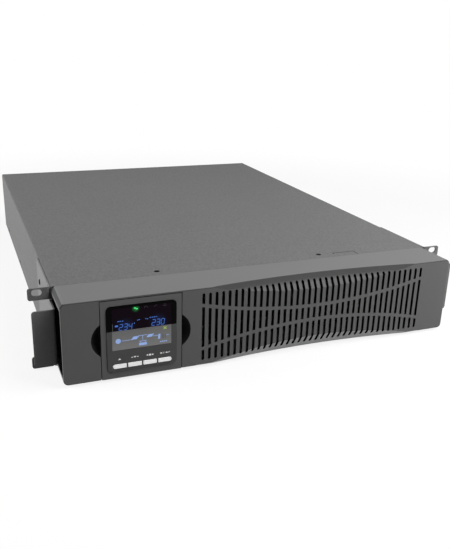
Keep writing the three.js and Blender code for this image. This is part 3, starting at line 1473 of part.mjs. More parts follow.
COVER_SCREW_X.forEach((x, number) => {
  place(`cover_screw_${number + 1}`, coverScrew(x, 0), "blackScrew");
});
for (const [side, sideName] of [[-1, "left"], [1, "right"]]) {
  SIDE_SCREW_DEPTHS.forEach((depth, number) => {
    place(`side_screw_${sideName}_${number + 1}`, sideScrew(side, depth, 0), "blackScrew");
  });
}

const display = new THREE.Group();
assembly.add(display);
place("display_housing", displayHousing(), "bezelPlastic", display);
place("display_overlay", displayOverlay(), "blackGloss", display);
place("display_screen", displayScreen(), "screenGlass", display);
place("display_board", displayBoard(), "circuitBoard", display);
place("display_back", displayBack(), "blackPlastic", display);
for (let key = 0; key < KEY_COUNT; key += 1) {
  place(`display_key_${key + 1}`, displayKey(key), "keyWhite", display);
}

place("battery_tray", batteryTray(), "zincSteel");
for (let row = 0; row < BATTERY_ROWS; row += 1) {
  for (let column = 0; column < BATTERY_COLUMNS; column += 1) {
    const number = row * BATTERY_COLUMNS + column + 1;
    place(`battery_${number}`, battery(column, row), "batteryCase");
  }
}

const mainBoard = block(
  -MAIN_BOARD_HALF,
  MAIN_BOARD_HALF,
  MAIN_BOARD_START,
  MAIN_BOARD_END,
  BOARD_Z,
  BOARD_TOP,
);
const filterBoard = block(
  FILTER_BOARD_LEFT,
  FILTER_BOARD_RIGHT,
  FILTER_BOARD_START,
  FILTER_BOARD_END,
  BOARD_Z,
  BOARD_TOP,
);
place("main_board", mainBoard, "circuitBoard");
place("filter_board", filterBoard, "circuitBoard");
place("heatsink_front", heatsink(MAIN_BOARD_START + PART_SPACE), "aluminium");
place("heatsink_rear", heatsink(MAIN_BOARD_END - PART_SPACE - HEATSINK_DEPTH), "aluminium");
for (let can = 0; can < CAPACITOR_COUNT; can += 1) {
  place(`bus_capacitor_${can + 1}`, capacitor(can), "capacitorSleeve");
}
place("boost_choke", toroid(CHOKE_X, alongMain(CHOKE_Y_SHARES[0])), "copperWire");
place("output_choke", toroid(CHOKE_X, alongMain(CHOKE_Y_SHARES[1])), "copperWire");
place("filter_choke", toroid(FILTER_BOARD_X, alongFilter(FILTER_CHOKE_Y_SHARE)), "copperWire");
const charger = transformer(FILTER_BOARD_X, alongFilter(CHARGER_Y_SHARE));
place("charger_transformer", charger, "blackPlastic");
place("bus_transformer", transformer(TRANSFORMER_X, MAIN_BOARD_MIDDLE), "blackPlastic");
place("control_board", controlBoard(), "circuitBoard");

FAN_X.forEach((x, number) => {
  place(`fan_${number + 1}_frame`, fanFrame(x), "blackPlastic");
  place(`fan_${number + 1}_rotor`, fanRotor(x), "blackPlastic");
});

place("outlet_block_lower", outletBlock(OUTLET_ROWS[0]), "blackPlastic");
place("outlet_block_upper", outletBlock(OUTLET_ROWS[1]), "blackPlastic");
place("outlet_large", largeOutlet(), "blackPlastic");
place("mains_inlet", inletSocket(), "blackPlastic");
place("serial_port", serialPort(), "zincSteel");
place("usb_port", usbPort(), "zincSteel");
place("epo_terminal", epoPort(), "terminalGreen");
place("battery_port", batteryPort(), "blackPlastic");
place("breaker_body", breakerBody(), "blackPlastic");
place("breaker_button", breakerButton(), "redButton");
place("slot_cover", slotCover(), "steelPaint");
place("slot_screw_left", slotScrew(-1), "zincSteel");
place("slot_screw_right", slotScrew(1), "zincSteel");

export default assembly;
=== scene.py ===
"""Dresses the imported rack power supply: finishes, fasteners, contacts, the lit readout and the stage.

Lengths are millimetres unless a property has a unit. The frame and the scene are in metres.
"""

import math

import bmesh
import bpy
from bpy.props import FloatProperty, FloatVectorProperty, PointerProperty
from mathutils import Matrix, Vector


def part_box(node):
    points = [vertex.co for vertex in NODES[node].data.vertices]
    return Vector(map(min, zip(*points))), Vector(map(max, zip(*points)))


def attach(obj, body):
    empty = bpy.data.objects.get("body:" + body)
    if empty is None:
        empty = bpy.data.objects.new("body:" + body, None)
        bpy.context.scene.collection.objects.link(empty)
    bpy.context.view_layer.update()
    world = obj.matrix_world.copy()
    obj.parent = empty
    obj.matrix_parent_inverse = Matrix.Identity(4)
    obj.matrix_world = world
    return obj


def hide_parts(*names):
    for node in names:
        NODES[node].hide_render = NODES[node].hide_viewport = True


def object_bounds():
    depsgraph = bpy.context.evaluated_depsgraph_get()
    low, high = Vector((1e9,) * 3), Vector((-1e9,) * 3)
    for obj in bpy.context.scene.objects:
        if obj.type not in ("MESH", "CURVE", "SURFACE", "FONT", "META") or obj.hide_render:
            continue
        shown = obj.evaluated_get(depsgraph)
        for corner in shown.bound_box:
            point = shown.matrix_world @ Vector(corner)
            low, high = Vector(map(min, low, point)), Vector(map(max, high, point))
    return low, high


bl_info = {
    "name": "Rack power supply dressing",
    "version": (1, 0, 0),
    "blender": (4, 5, 0),
    "location": "View3D > Sidebar > Power supply",
    "description": "Finishes and details the packed rack power supply and sets its stage",
    "category": "Object",
}

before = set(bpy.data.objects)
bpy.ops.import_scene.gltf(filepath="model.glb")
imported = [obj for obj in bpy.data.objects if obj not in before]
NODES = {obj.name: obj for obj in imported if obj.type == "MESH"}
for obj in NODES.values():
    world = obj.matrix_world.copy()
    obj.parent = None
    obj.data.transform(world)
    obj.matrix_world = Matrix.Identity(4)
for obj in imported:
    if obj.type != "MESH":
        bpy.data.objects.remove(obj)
CAD_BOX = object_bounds()
MM = 0.001

# The studio floor in metres: from its middle to its sides, and its gap under the object.

FLOOR_REACH = 40
FLOOR_GAP = 0.0002


def tint(red, green, blue):
    """A colour as a picture editor gives it, 0 to 255, in the linear values that a shader takes."""
    shares = [value / 255 for value in (red, green, blue)]
    return [s / 12.92 if s <= 0.04045 else ((s + 0.055) / 1.055) ** 2.4 for s in shares]


def span(node):
    """(lowest corner, highest corner) of a CAD node in millimetres."""
    low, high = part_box(node)
    return low / MM, high / MM


def centre(node):
    low, high = span(node)
    return (low + high) / 2


def nodes_named(*starts):
    return sorted(name for name in NODES if name.startswith(starts))


# Places on the CAD model, and sizes of what sits there. Screw heads are (radius, height).

SCREEN_LOW = span("display_screen")[0]
BEZEL_LOW, BEZEL_HIGH = span("front_bezel")
REAR_SKIN = span("rear_panel")[1].y
FLANGE_FACE = span("outlet_block_lower")[1].y
# The mask's edge; below it the film and the screen carry a painted reflection.
MASK_EDGE = SCREEN_LOW.z + 20.1
MARK_SINK = 0.02
KEY_MARK_RISE = 4.8
KEY_MARK_HALF = 0.85
RETURN_HEAD = ((0.3, 0), (2.1, -KEY_MARK_HALF), (2.1, KEY_MARK_HALF))
HEAD_SINK = 0.05
SUNK_HEAD = (3.05, 1.7)
THUMB_HEAD = (4.1, 3.9)
EAR_LEG_FACE = 220.8
EAR_SCREW_DEPTHS = (-217.95, -179.95)
EAR_SCREW_HEIGHTS = (21.25, 65.25)
EAR_HEAD = (3.2, 1.2)
FAN_SCREW_INSET = 4.25
FAN_HEAD = (3.3, 1.7)
FAN_LABEL_RADIUS = 13.5
FAN_LABEL_DEPTHS = (0.02, 0.1)
OUTLET_PLACES = (-39, -13, 13, 39)
LIVE_DROP = -1.5
EARTH_RISE = 1.8
INLET_PINS = ((-8, -3), (8, -3), (0, 5))
PORT_PINS = ((0, -7), (0, 7))
PIN_SETBACK = 3
SERIAL_ROWS = ((1.42, 5), (-1.42, 4))
SERIAL_STEP = 2.74

# The bezel's painted shade and light: places along X, scoops at (x, y), distances from its face, foot and
# head, and levels. The walls of the slots, seam, grips and scoops and the brow get painted shade, the sill
# painted light.

FACE_SKIN = 0.1
GRILLE_ENDS = (-86, 186)
SLOT_MARGIN = 3
SLOT_DEPTH = 16
SEAM_DEPTH = 3
GRIP_SIDES = (208.4, 219.4)
GRIP_DEPTHS = (1.4, 49.5)
GRIP_MARGIN = 7.5
SCOOP_CENTRES = ((-171.26, -311.24), (-111.94, -311.24))
SCOOP_RADIUS = 22.4
SCOOP_START = 0.35
SCOOP_SHADE = 0.94
# The brow's level is a painted shade, and the sill's level a painted light.
BROW_DROPS = (9, 4.5)
BROW_SHADE = 0.4
SILL_DEPTH = 12
SILL_HEIGHT = 16
SILL_LIGHT = 4

# Painted shade in the slits round the tongue in the top cover, as ranges along X, Y and Z.

TONGUE_SLITS = ((99, 130), (-256, -239.5), (80, BEZEL_HIGH.z - 0.05))
SLIT_SHADE = 0.04

# Turned and bent parts: leaves as (depth, bow), blade tips (depth, trim), mouths (radius, rise).

HEAD_SIDES = 28
DRIVE_LIMIT = 0.82
ARM_SHARE = 0.2
DRIVE_TAPERS = (0.72, 0.8)
LEAF_CLEARANCE = 0.04
LEAF_BENDS = ((-9.0, 0.0), (-6.5, 0.05), (-4.0, 0.28), (-2.6, 0.18), (-1.6, -0.02))
BLADE_TIP = ((-9, 0), (-1.2, 0), (-0.3, 0.5), (0, 0.9))
SLEEVE_MOUTH = ((0.75, 1.5), (0.75, 1.75), (0.55, 1.8), (0.45, 1.62))

# The readout's marks, as (x, z) from the lower left corner of the screen.

DIGIT_ROWS = (("234", 6.7, 20.7), ("230", 38.9, 21.4))
DIGIT_BARS = {"0": "abcdef", "2": "abged", "3": "abgcd", "4": "fgbc"}
BAR_ENDS = {
    "a": ((0, 2), (1, 2)), "b": ((1, 2), (1, 1)), "c": ((1, 1), (1, 0)), "d": ((0, 0), (1, 0)),
    "e": ((0, 1), (0, 0)), "f": ((0, 2), (0, 1)), "g": ((0, 1), (1, 1)),
}
BAR_GAP = 0.12
DIGIT_SLANT = 0.13
DIGIT_WIDTH = 0.68
DIGITS_MIDDLE = (6.6, 2.9)
BATTERY_MARK = (4.4, 25.4, 3.1, 1.8, 0.6)
UNIT_MARK = (21.9, 26.3, 0.8, 1.1, 0.4)
DIGITS_GLOW = 11
LAMP_PLACE = (23.5, 41.4)
LAMP_WAVE = (3.6, 0.8)
LAMP_GLOW = 4.6
DASHES = (
    (6.1, 30.0, 1.5), (8.2, 30.0, 1.7), (10.4, 30.0, 1.3), (25.0, 29.0, 1.0), (26.6, 29.4, 1.4),
    (33.2, 29.5, 1.2), (34.9, 29.1, 1.0), (37.6, 30.2, 1.6), (39.8, 30.2, 1.7), (42.0, 30.2, 1.6),
    (43.9, 30.2, 0.9),
)
FLOW_BLOCKS = (
    (22.3, 10.8, 5.6, 3.1, 0.9), (37.3, 11.2, 5.4, 3.0, 0.9), (46.4, 8.9, 2.1, 5.2, 0.1),
    (30.0, 3.4, 8.0, 2.7, 0.0), (47.9, 3.1, 1.5, 1.1, 0.0), (50.0, 3.1, 1.7, 1.1, 0.0),
    (52.0, 3.1, 1.5, 1.1, 0.0), (53.8, 3.1, 1.1, 1.1, 0.0),
)
FLOW_LINES = (
    ((9.2, 9.3), (19.4, 9.3)), ((25.4, 12.5), (34.6, 12.5)), ((40.1, 10.2), (45.2, 10.2)),
    ((29.8, 12.4), (29.8, 7.9)), ((26.2, 6.6), (33.8, 6.6)), ((27.8, 6.6), (27.8, 5.0)),
    ((32.3, 6.6), (32.3, 5.0)), ((53.4, 9.4), (56.4, 9.4)),
)
SOURCE_RING = (5.7, 9.5, 2.6)
FAINT_BLOCKS = (
    (30.2, 19.2, 9.4, 0.7), (50.2, 8.6, 0.9, 4.4), (52.4, 8.5, 0.8, 4.2), (0.6, 23.8, 0.35, 8.2),
)
UNLIT_LINES = (
    ((31.6, 40.9), (32.3, 42.1), (33.4, 42.5), (34.5, 42.1), (35.1, 40.9)),
    ((41.4, 40.6), (43.0, 42.1), (44.3, 42.7)),
    ((50.7, 40.6), (52.2, 43.0), (53.7, 40.6), (50.7, 40.6)),
)
WARM_CROSS = (((50.8, 16.0), (53.8, 18.6)), ((50.8, 18.6), (53.8, 16.0)))


# What a user may change.


def plain_value(name, description, default, kind=FloatProperty, **traits):
    return kind(name=name, description=description, default=default, **traits)


def colour_value(name, description, default):
    traits = {"subtype": "COLOR", "size": 3, "min": 0, "max": 1}
    return plain_value(name, description, tint(*default), FloatVectorProperty, **traits)


def length_value(name, description, default_mm):
    traits = {"subtype": "DISTANCE", "unit": "LENGTH", "min": 0, "precision": 5}
    return plain_value(name, description, default_mm * MM, **traits)


def share_value(name, description, default):
    return plain_value(name, description, default, subtype="FACTOR", min=0, max=1)


def lamp_value(name, description, default_watts):
    return plain_value(name, description, default_watts, subtype="POWER", unit="POWER", min=0)


def angle_value(name, description, default_degrees):
    return plain_value(name, description, math.radians(default_degrees), subtype="ANGLE", unit="ROTATION")


class CaseColours(bpy.types.PropertyGroup):
    """Colours of the case and its fittings"""

    sheet: colour_value("Sheet paint", "Powder paint on the cover, tray and rear panel", (102, 102, 102))
    ears: colour_value("Rack ears", "Smoother paint on the rack ears", (122, 122, 122))
    bezel: colour_value("Bezel", "Moulded bezel and display housing", (113, 113, 113))
    # Painted shade: the dark colour of the unlit walls in the bezel and of the black coat behind the grille.
    recess_shade: colour_value("Recesses", "Unlit walls of the grips and grille slots", (4, 4, 5))
    screw: colour_value("Screws", "Blackened steel screws", (7, 7, 8))
    zinc: colour_value("Zinc plate", "Plated inner sheet and small fittings", (176, 180, 184))
    socket: colour_value("Sockets", "Black moulded sockets, fans and breaker", (34, 34, 36))
    contact: colour_value("Contacts", "Brass and nickel contacts in the sockets", (204, 184, 136))
    button: colour_value("Breaker button", "Button that trips outwards", (176, 44, 36))
    terminal: colour_value("Terminal block", "Plug-in terminal for the emergency switch", (46, 126, 68))


class DisplayColours(bpy.types.PropertyGroup):
    """Colours of the control panel"""

    # Painted reflection: the film's colour below the mask's edge.
    film: colour_value("Panel film", "Lower part of the control panel", (98, 98, 98))
    mask: colour_value("Black mask", "Printed mask round the upper part of the screen", (5, 5, 6))
    dark_glass: colour_value("Dark screen", "Screen behind the black mask", (24, 14, 24))
    # Painted reflection: the screen's pale colour below the mask's edge.
    pale_glass: colour_value("Pale screen", "Screen below the black mask", (116, 116, 116))
    key: colour_value("Keys", "Moulded keys", (240, 240, 239))
    digit: colour_value("Lit digits", "Digits and marks on the dark screen", (72, 112, 196))
    figure: colour_value("Lit figures", "Flow figures on the pale screen", (150, 176, 228))
    lamp: colour_value("Lamp", "Lit wave mark for mains power", (70, 226, 118))
    warm: colour_value("Warm mark", "Small lit cross beside the output", (170, 196, 96))
    unlit: colour_value("Unlit marks", "Marks at the head of the screen that aren't lit", (66, 54, 62))
    # On the pale screen this glow is part of the painted reflection.
    backlight: share_value("Backlight", "Light that comes through the keys and the pale screen", 0.4)


class InnerColours(bpy.types.PropertyGroup):
    """Colours of what the case holds"""

    board: colour_value("Circuit boards", "Solder mask", (24, 82, 48))
    pad: colour_value("Pads", "Plated pads on the boards", (190, 188, 176))
    heatsink: colour_value("Heatsinks", "Extruded aluminium", (190, 193, 196))
    copper: colour_value("Windings", "Enamelled copper wire", (172, 98, 48))
    sleeve: colour_value("Capacitors", "Shrunk sleeve", (28, 46, 84))
    battery: colour_value("Batteries", "Moulded battery case", (92, 96, 102))
    label: colour_value("Fan labels", "Bare labels on the fan hubs", (186, 188, 190))


class DetailSizes(bpy.types.PropertyGroup):
    """Sizes of the small details"""

    sheet_edge: length_value("Sheet edge", "Rounding of cut and folded steel edges", 0.12)
    moulded_edge: length_value("Moulded edge", "Rounding of moulded edges", 0.15)
    drive: length_value("Cross drive", "Reach of the cross recess in a screw head", 1.9)
    drive_depth: length_value("Drive depth", "Depth of the cross recess", 0.9)
    print_rise: length_value("Print rise", "How far printed and lit marks stand on the panel", 0.04)
    digit_height: length_value("Digit height", "Height of the seven-bar digits", 6.0)
    digit_pitch: length_value("Digit pitch", "Step from one digit to the next", 4.6)
    bar_width: length_value("Bar width", "Width of one bar of a digit", 0.62)
    leaf: length_value("Contact leaf", "Thickness of a contact's spring leaf", 0.22)
    pin_sleeve: length_value("Pin plating", "How far the plated pins stand over their cores", 0.06)


class StageValues(bpy.types.PropertyGroup):
    """Floor, lamps and camera"""

    floor: colour_value("Floor", "Plain floor, as it lights the object", (138, 138, 138))
    backdrop: colour_value("Backdrop", "What the camera sees behind the object", (255, 255, 255))
    floor_glow: share_value("Floor glow", "Share of the backdrop's white in the floor as seen", 0.84)
    floor_reach: length_value("Floor reach", "How far from the object the floor keeps its shadow", 1100)
    ambient: share_value("Ambient", "Strength of the even light", 0.09)
    left_lamp: lamp_value("Left lamp", "Softbox on the left, behind the front face", 31.5)
    top_lamp: lamp_value("Top lamp", "Softbox over the near right corner", 12.6)
    right_lamp: lamp_value("Right lamp", "Low softbox close to the front right corner", 0.75)
    fill_lamp: lamp_value("Fill lamp", "Weak softbox at the front left", 0.1)
    rear_lamp: lamp_value("Rear lamp", "Softbox behind and to the right, for the sockets", 5)
    lens: plain_value("Lens", "Focal length for the long side of the picture", 44.76, unit="CAMERA", min=1)
    turn: angle_value("Turn", "Angle of the camera round the object", -22.28)
    climb: angle_value("Climb", "Angle of the camera above the horizon", 19.83)
    roll: angle_value("Roll", "Tilt of the picture", 1.66)
    eye: plain_value(
        "Eye", "Where the camera stands", (-0.29658, -0.887, 0.32627), FloatVectorProperty,
        subtype="XYZ", unit="LENGTH", size=3, precision=5,
    )


class DressingSettings(bpy.types.PropertyGroup):
    """All that can be changed"""

    case: PointerProperty(type=CaseColours, name="Case", description="Colours of the case")
    display: PointerProperty(type=DisplayColours, name="Display", description="Colours of the control panel")
    inner: PointerProperty(type=InnerColours, name="Inside", description="Colours of the inner parts")
    sizes: PointerProperty(type=DetailSizes, name="Details", description="Sizes of the details")
    stage: PointerProperty(type=StageValues, name="Stage", description="Floor, lamps and camera")


def settings():
    return bpy.context.scene.power_dressing


# Finishes. Each is a shader on the object's own coordinates, which are metres in the frame.


class Nodes:
    """Shader nodes of a material or a world."""

    def __init__(self, owner):
        owner.use_nodes = True
        self.tree = owner.node_tree

    def join(self, socket, value):
        """Links a node's output to a socket, or sets the socket to a plain value."""
        if isinstance(value, bpy.types.NodeSocket):
            self.tree.links.new(value, socket)
        elif socket.type == "RGBA" and len(value) == 3:
            socket.default_value = (*value, 1)
        else:
            socket.default_value = value

    def add(self, kind, sockets=(), **traits):
        node = self.tree.nodes.new(kind)
        for name, value in traits.items():
            setattr(node, name, value)
        for name, value in dict(sockets).items():
            self.join(node.inputs[name], value)
        return node

    def vector(self, operation, *values, kind="ShaderNodeVectorMath"):
        """Outputs of a vector's arithmetic."""
        node = self.add(kind, operation=operation)
        for socket, value in zip(node.inputs, values):
            self.join(socket, value)
        return node.outputs

    def calc(self, operation, *values):
        return self.vector(operation, *values, kind="ShaderNodeMath")[0]

    def times(self, first, second):
        return self.calc("MULTIPLY", first, second)

    def most(self, first, second):
        return self.calc("MAXIMUM", first, second)

    def between(self, value, low, high, start=0.25, end=0.75, **traits):
        """A value from start to end, turned into one from low to high."""
        values = {"Value": value, "From Min": start, "From Max": end, "To Min": low, "To Max": high}
        return self.add("ShaderNodeMapRange", values, **traits).outputs["Result"]

    def scaled(self, colour, level):
        outputs = self.vector("SCALE", colour)
        self.join(outputs[0].node.inputs["Scale"], level)
        return outputs[0]

    def shaded(self, colour, *layers):
        """The colour, lighter and darker by (texture, share) layers."""
        level = 1 - sum(share for _, share in layers) / 2
        for texture, share in layers:
            level = self.calc("MULTIPLY_ADD", texture, share, level)
        return self.scaled(colour, level)

    def mixed(self, share, first, second):
        """The first colour at share 0 and the second at share 1."""
        node = self.add("ShaderNodeMix", data_type="RGBA")
        colours = [socket for socket in node.inputs if socket.type == "RGBA"]
        self.join(node.inputs[0], share)
        self.join(colours[0], first)
        self.join(colours[1], second)
        return [socket for socket in node.outputs if socket.type == "RGBA"][0]

    def seen(self):
        """1 for rays that see a thing straight, in gloss or through glass, and 0 for those that light it."""
        path = self.add("ShaderNodeLightPath").outputs
        return self.most(self.most(path["Is Camera Ray"], path["Is Glossy Ray"]), path["Is Transmission Ray"])


class Finish(Nodes):
    """A procedural material in the making."""

    def __init__(self, name):
        self.material = bpy.data.materials.new(name)
        super().__init__(self.material)
        self.shader = self.tree.nodes["Principled BSDF"]
        coordinates = self.add("ShaderNodeTexCoord").outputs
        self.place, self.normal = coordinates["Object"], coordinates["Normal"]

    def set(self, **sockets):
        """Sets sockets of the shader, whose spaces are written as underscores, and gives the material."""
        for name, value in sockets.items():
            self.join(self.shader.inputs[name.replace("_", " ")], value)
        return self.material

    def grained(self, tone, grain, rough, relief, **sockets):
        """The material with a tone, and a grain's roughness (low, high) and relief (depth, strength)."""
        rough, normal = self.between(grain, *rough), self.emboss(grain, *relief)
        return self.set(Base_Color=tone, Roughness=rough, Normal=normal, **sockets)

    def stretched(self, x, y, z):
        """The place, stretched along the axes."""
        return self.add("ShaderNodeMapping", {"Vector": self.place, "Scale": (x, y, z)}).outputs[0]

    def noise(self, size, detail=3, rough=0.55, place=None):
        """Soft cloudy noise whose features are about size millimetres wide."""
        values = {"Vector": place or self.place, "Scale": 1 / (size * MM)}
        values |= {"Detail": detail, "Roughness": rough}
        return self.add("ShaderNodeTexNoise", values).outputs["Fac"]

    def cells(self, size, output="Distance", **traits):
        """Cells about size millimetres wide: the distance to their middles, or one colour for each."""
        values = {"Vector": self.place, "Scale": 1 / (size * MM)}
        return self.add("ShaderNodeTexVoronoi", values, **traits).outputs[output]

    def axis(self, name, vector=None):
        """One part of a vector, or of the place."""
        return self.add("ShaderNodeSeparateXYZ", {"Vector": vector or self.place}).outputs[name]

    def above(self, height):
        """1 above that height in millimetres, and 0 below it."""
        return self.calc("GREATER_THAN", self.axis("Z"), height * MM)

    def inside(self, *ranges):
        """1 within (start, end) ranges along X, Y and Z in millimetres, and 0 elsewhere."""
        share = 1.0
        for axis, (start, end) in zip("XYZ", ranges):
            away = self.calc("ABSOLUTE", self.calc("SUBTRACT", self.axis(axis), (start + end) / 2 * MM))
            share = self.times(share, self.calc("LESS_THAN", away, (end - start) / 2 * MM))
        return share

    def away_from(self, x, y, z):
        """Distance in metres from a point given in millimetres."""
        return self.vector("DISTANCE", self.place, Vector((x, y, z)) * MM)["Value"]

    def spot(self, x, y, z, reach):
        """A soft spot: 1 at its middle and 0 at its reach, both in millimetres."""
        away = self.away_from(x, y, z)
        return self.between(away, 0, 1, reach * MM, 0, interpolation_type="SMOOTHSTEP")

    def walls(self):
        """1 on walls that run back from the front and on their edges, and 0 elsewhere."""
        back, across = (self.calc("ABSOLUTE", self.axis(name, self.normal)) for name in "YX")
        return self.most(self.calc("LESS_THAN", back, 0.3), self.calc("GREATER_THAN", across, 0.5))

    def slopes(self, way):
        """1 on faces between the front and the top, or the bottom for way -1, and 0 elsewhere."""
        rise = self.times(self.axis("Z", self.normal), way)
        return self.times(self.calc("GREATER_THAN", rise, 0.12), self.calc("LESS_THAN", rise, 0.9))

    def emboss(self, height, depth, strength=1.0):
        """Bump of that depth in millimetres."""
        values = {"Height": height, "Distance": depth * MM, "Strength": strength}
        return self.add("ShaderNodeBump", values).outputs["Normal"]

    def eroded(self, colour):
        """The grain of spark-eroded plastic, and the colour under that grain and a faint flow."""
        grain = self.noise(0.55, rough=0.65)
        flow = self.noise(60, detail=2, place=self.stretched(0.4, 1, 1))
        return grain, self.shaded(colour, (grain, 0.18), (flow, 0.06))


def powder_paint(name, colour, coarse=0.8):
    """Sheet steel under textured powder paint: a fine speckle over orange peel, with painted shade in the
    slits round the tongue.
    """
    finish = Finish(name)
    speckle = finish.noise(0.9, detail=4, rough=0.7)
    grit, cloud = finish.noise(2.2, detail=2), finish.noise(90, detail=2)
    relief = finish.calc("MULTIPLY_ADD", finish.cells(1.3), 0.5, speckle)
    tone = finish.shaded(colour, (speckle, 0.7), (grit, coarse), (cloud, 0.08))
    # The tone is darkened to a painted shade inside the tongue's slits.
    return finish.set(
        Base_Color=finish.scaled(tone, finish.between(finish.inside(*TONGUE_SLITS), 1, SLIT_SHADE, 0, 1)),
        Roughness=finish.between(speckle, 0.52, 0.68),
        Specular_IOR_Level=0.1,
        Normal=finish.emboss(relief, 0.08, 0.6),
    )


def moulded(name, colour, rough=0.6, spark=0.03, lit=0.0):
    """Spark-eroded moulded plastic and, if lit, light through it."""
    finish = Finish(name)
    grain, tone = finish.eroded(colour)
    light = {"Specular_IOR_Level": 0.3, "Emission_Color": tone, "Emission_Strength": lit}
    return finish.grained(tone, grain, (rough - 0.06, rough + 0.07), (spark, 0.7), **light)


def bezel_plastic(name, colour, dark):
    """The bezel's eroded plastic, with painted shade on the walls of the slots, seam, grips and scoops and on
    the brow, and painted light on the sill.
    """
    finish = Finish(name)
    grain, tone = finish.eroded(colour)
    face, foot, head = BEZEL_LOW.y, BEZEL_LOW.z, BEZEL_HIGH.z
    (left, _, _), (right, _, top) = span("display_housing")
    heights = (foot + SLOT_MARGIN, head - SLOT_MARGIN)
    slots = finish.inside(GRILLE_ENDS, (face - FACE_SKIN, face + SLOT_DEPTH), heights)
    seam = finish.inside((left - 1, right + 1), (face - FACE_SKIN, face + SEAM_DEPTH), (foot - 1, top + 1))
    # Painted shade on the walls of the grille slots and of the seam round the display housing.
    painted_shade = finish.times(finish.most(slots, seam), finish.walls())
    depths, heights = [face + depth for depth in GRIP_DEPTHS], (foot + GRIP_MARGIN, head - GRIP_MARGIN)
    # Painted shade inside the grips at both ends.
    for side in (-1, 1):
        painted_shade = finish.most(painted_shade, finish.inside(sorted(side * x for x in GRIP_SIDES), depths, heights))
    # Painted shade inside the scoops beside the display.
    behind_face = finish.calc("GREATER_THAN", finish.axis("Y"), (face + SCOOP_START) * MM)
    for x, y in SCOOP_CENTRES:
        bowl = finish.calc("LESS_THAN", finish.away_from(x, y, (foot + head) / 2), SCOOP_RADIUS * MM)
        painted_shade = finish.most(painted_shade, finish.times(finish.times(bowl, behind_face), SCOOP_SHADE))
    # Painted shade on the brow over the grille.
    brow = finish.between(finish.axis("Z"), 0, 1, *((head - drop) * MM for drop in BROW_DROPS))
    brow = finish.times(brow, finish.slopes(1))
    # Painted light on the sill under the grille.
    fold = finish.inside(GRILLE_ENDS, (face - 1, face + SILL_DEPTH), (foot - 1, foot + SILL_HEIGHT))
    sill = finish.times(fold, finish.slopes(-1))
    for mask, level in ((brow, BROW_SHADE), (sill, SILL_LIGHT)):
        tone = finish.scaled(tone, finish.between(mask, 1, level, 0, 1))
    tone = finish.mixed(painted_shade, tone, finish.shaded(dark, (grain, 0.3)))
    return finish.grained(tone, grain, (0.54, 0.68), (0.03, 0.7), Specular_IOR_Level=0.1)


def zinc_plate(name, colour):
    """Zinc-plated sheet with a faint spangle and rolling marks."""
    finish = Finish(name)
    rolled = finish.noise(0.8, place=finish.stretched(0.06, 1, 1))
    tone = finish.shaded(colour, (finish.cells(6, "Color"), 0.14), (rolled, 0.1))
    return finish.grained(tone, rolled, (0.34, 0.5), (0.02, 0.5), Metallic=0.92)


def screw_steel(name, colour, metal=0.0, rough=0.68):
    """Screw steel, worn a little lighter in patches."""
    finish = Finish(name)
    grain, wear = finish.noise(0.5), finish.noise(2.4, detail=2)
    tone = finish.shaded(colour, (grain, 0.3), (wear, 0.35))
    shine = {"Metallic": metal, "Specular_IOR_Level": 0.04}
    return finish.grained(tone, grain, (rough - 0.08, rough + 0.08), (0.015, 0.6), **shine)


def contact_metal(name, colour):
    """Plated contact metal with fine drawn lines."""
    finish = Finish(name)
    drawn = finish.noise(0.35, place=finish.stretched(1, 0.1, 1))
    tone = finish.shaded(colour, (drawn, 0.2))
    return finish.grained(tone, drawn, (0.22, 0.38), (0.01, 0.5), Metallic=1.0)


def panel_film(name, colours):
    """Control panel film: a black print above the mask's edge, and below it a painted reflection in the
    film's colour.
    """
    finish = Finish(name)
    grain = finish.noise(0.35, detail=2)
    upper = finish.above(MASK_EDGE)
    film_reflection = finish.shaded(colours.film, (grain, 0.1))
    black = finish.shaded(colours.mask, (grain, 0.12))
    return finish.set(
        Base_Color=finish.mixed(upper, film_reflection, black),
        Roughness=finish.between(upper, 0.5, 0.3, 0, 1),
        Specular_IOR_Level=0.03,
        Normal=finish.emboss(grain, 0.008, 0.5),
    )


def screen_glass(name, colours):
    """Liquid crystal screen: dark above the mask's edge with the lamps' glow; below it a painted reflection,
    pale, lighter towards the bottom and glowing.
    """
    finish = Finish(name)
    grain = finish.noise(0.3, detail=2)
    cloud = finish.noise(18, detail=2)
    upper = finish.above(MASK_EDGE)
    # Painted reflection below the mask's edge, lighter towards the bottom.
    reflection_fall = finish.between(finish.axis("Z"), 1.1, 0.8, SCREEN_LOW.z * MM, MASK_EDGE * MM)
    pale = finish.scaled(finish.shaded(colours.pale_glass, (grain, 0.1), (cloud, 0.12)), reflection_fall)
    dark = finish.shaded(colours.dark_glass, (grain, 0.5), (cloud, 0.3))
    left, face, foot = SCREEN_LOW
    lamp = finish.spot(left + LAMP_PLACE[0], face, foot + LAMP_PLACE[1], LAMP_GLOW)
    halo = 0.0
    for _, x, z in DIGIT_ROWS:
        middle = (left + x + DIGITS_MIDDLE[0], face, foot + z + DIGITS_MIDDLE[1])
        halo = finish.most(halo, finish.spot(*middle, DIGITS_GLOW))
    halo = finish.times(halo, upper)
    green = finish.scaled(colours.lamp, finish.times(lamp, 0.2))
    blue = finish.scaled(colours.digit, finish.times(halo, 0.07))
    # The glow below the mask's edge belongs to the painted reflection.
    back = finish.scaled(pale, finish.between(upper, colours.backlight, 0, 0, 1))
    light = finish.vector("ADD", finish.vector("ADD", green, blue)["Vector"], back)["Vector"]
    return finish.set(
        Base_Color=finish.mixed(upper, pale, dark),
        Roughness=finish.between(grain, 0.2, 0.3),
        Specular_IOR_Level=0.03,
        Emission_Color=light,
        Emission_Strength=1.0,
    )


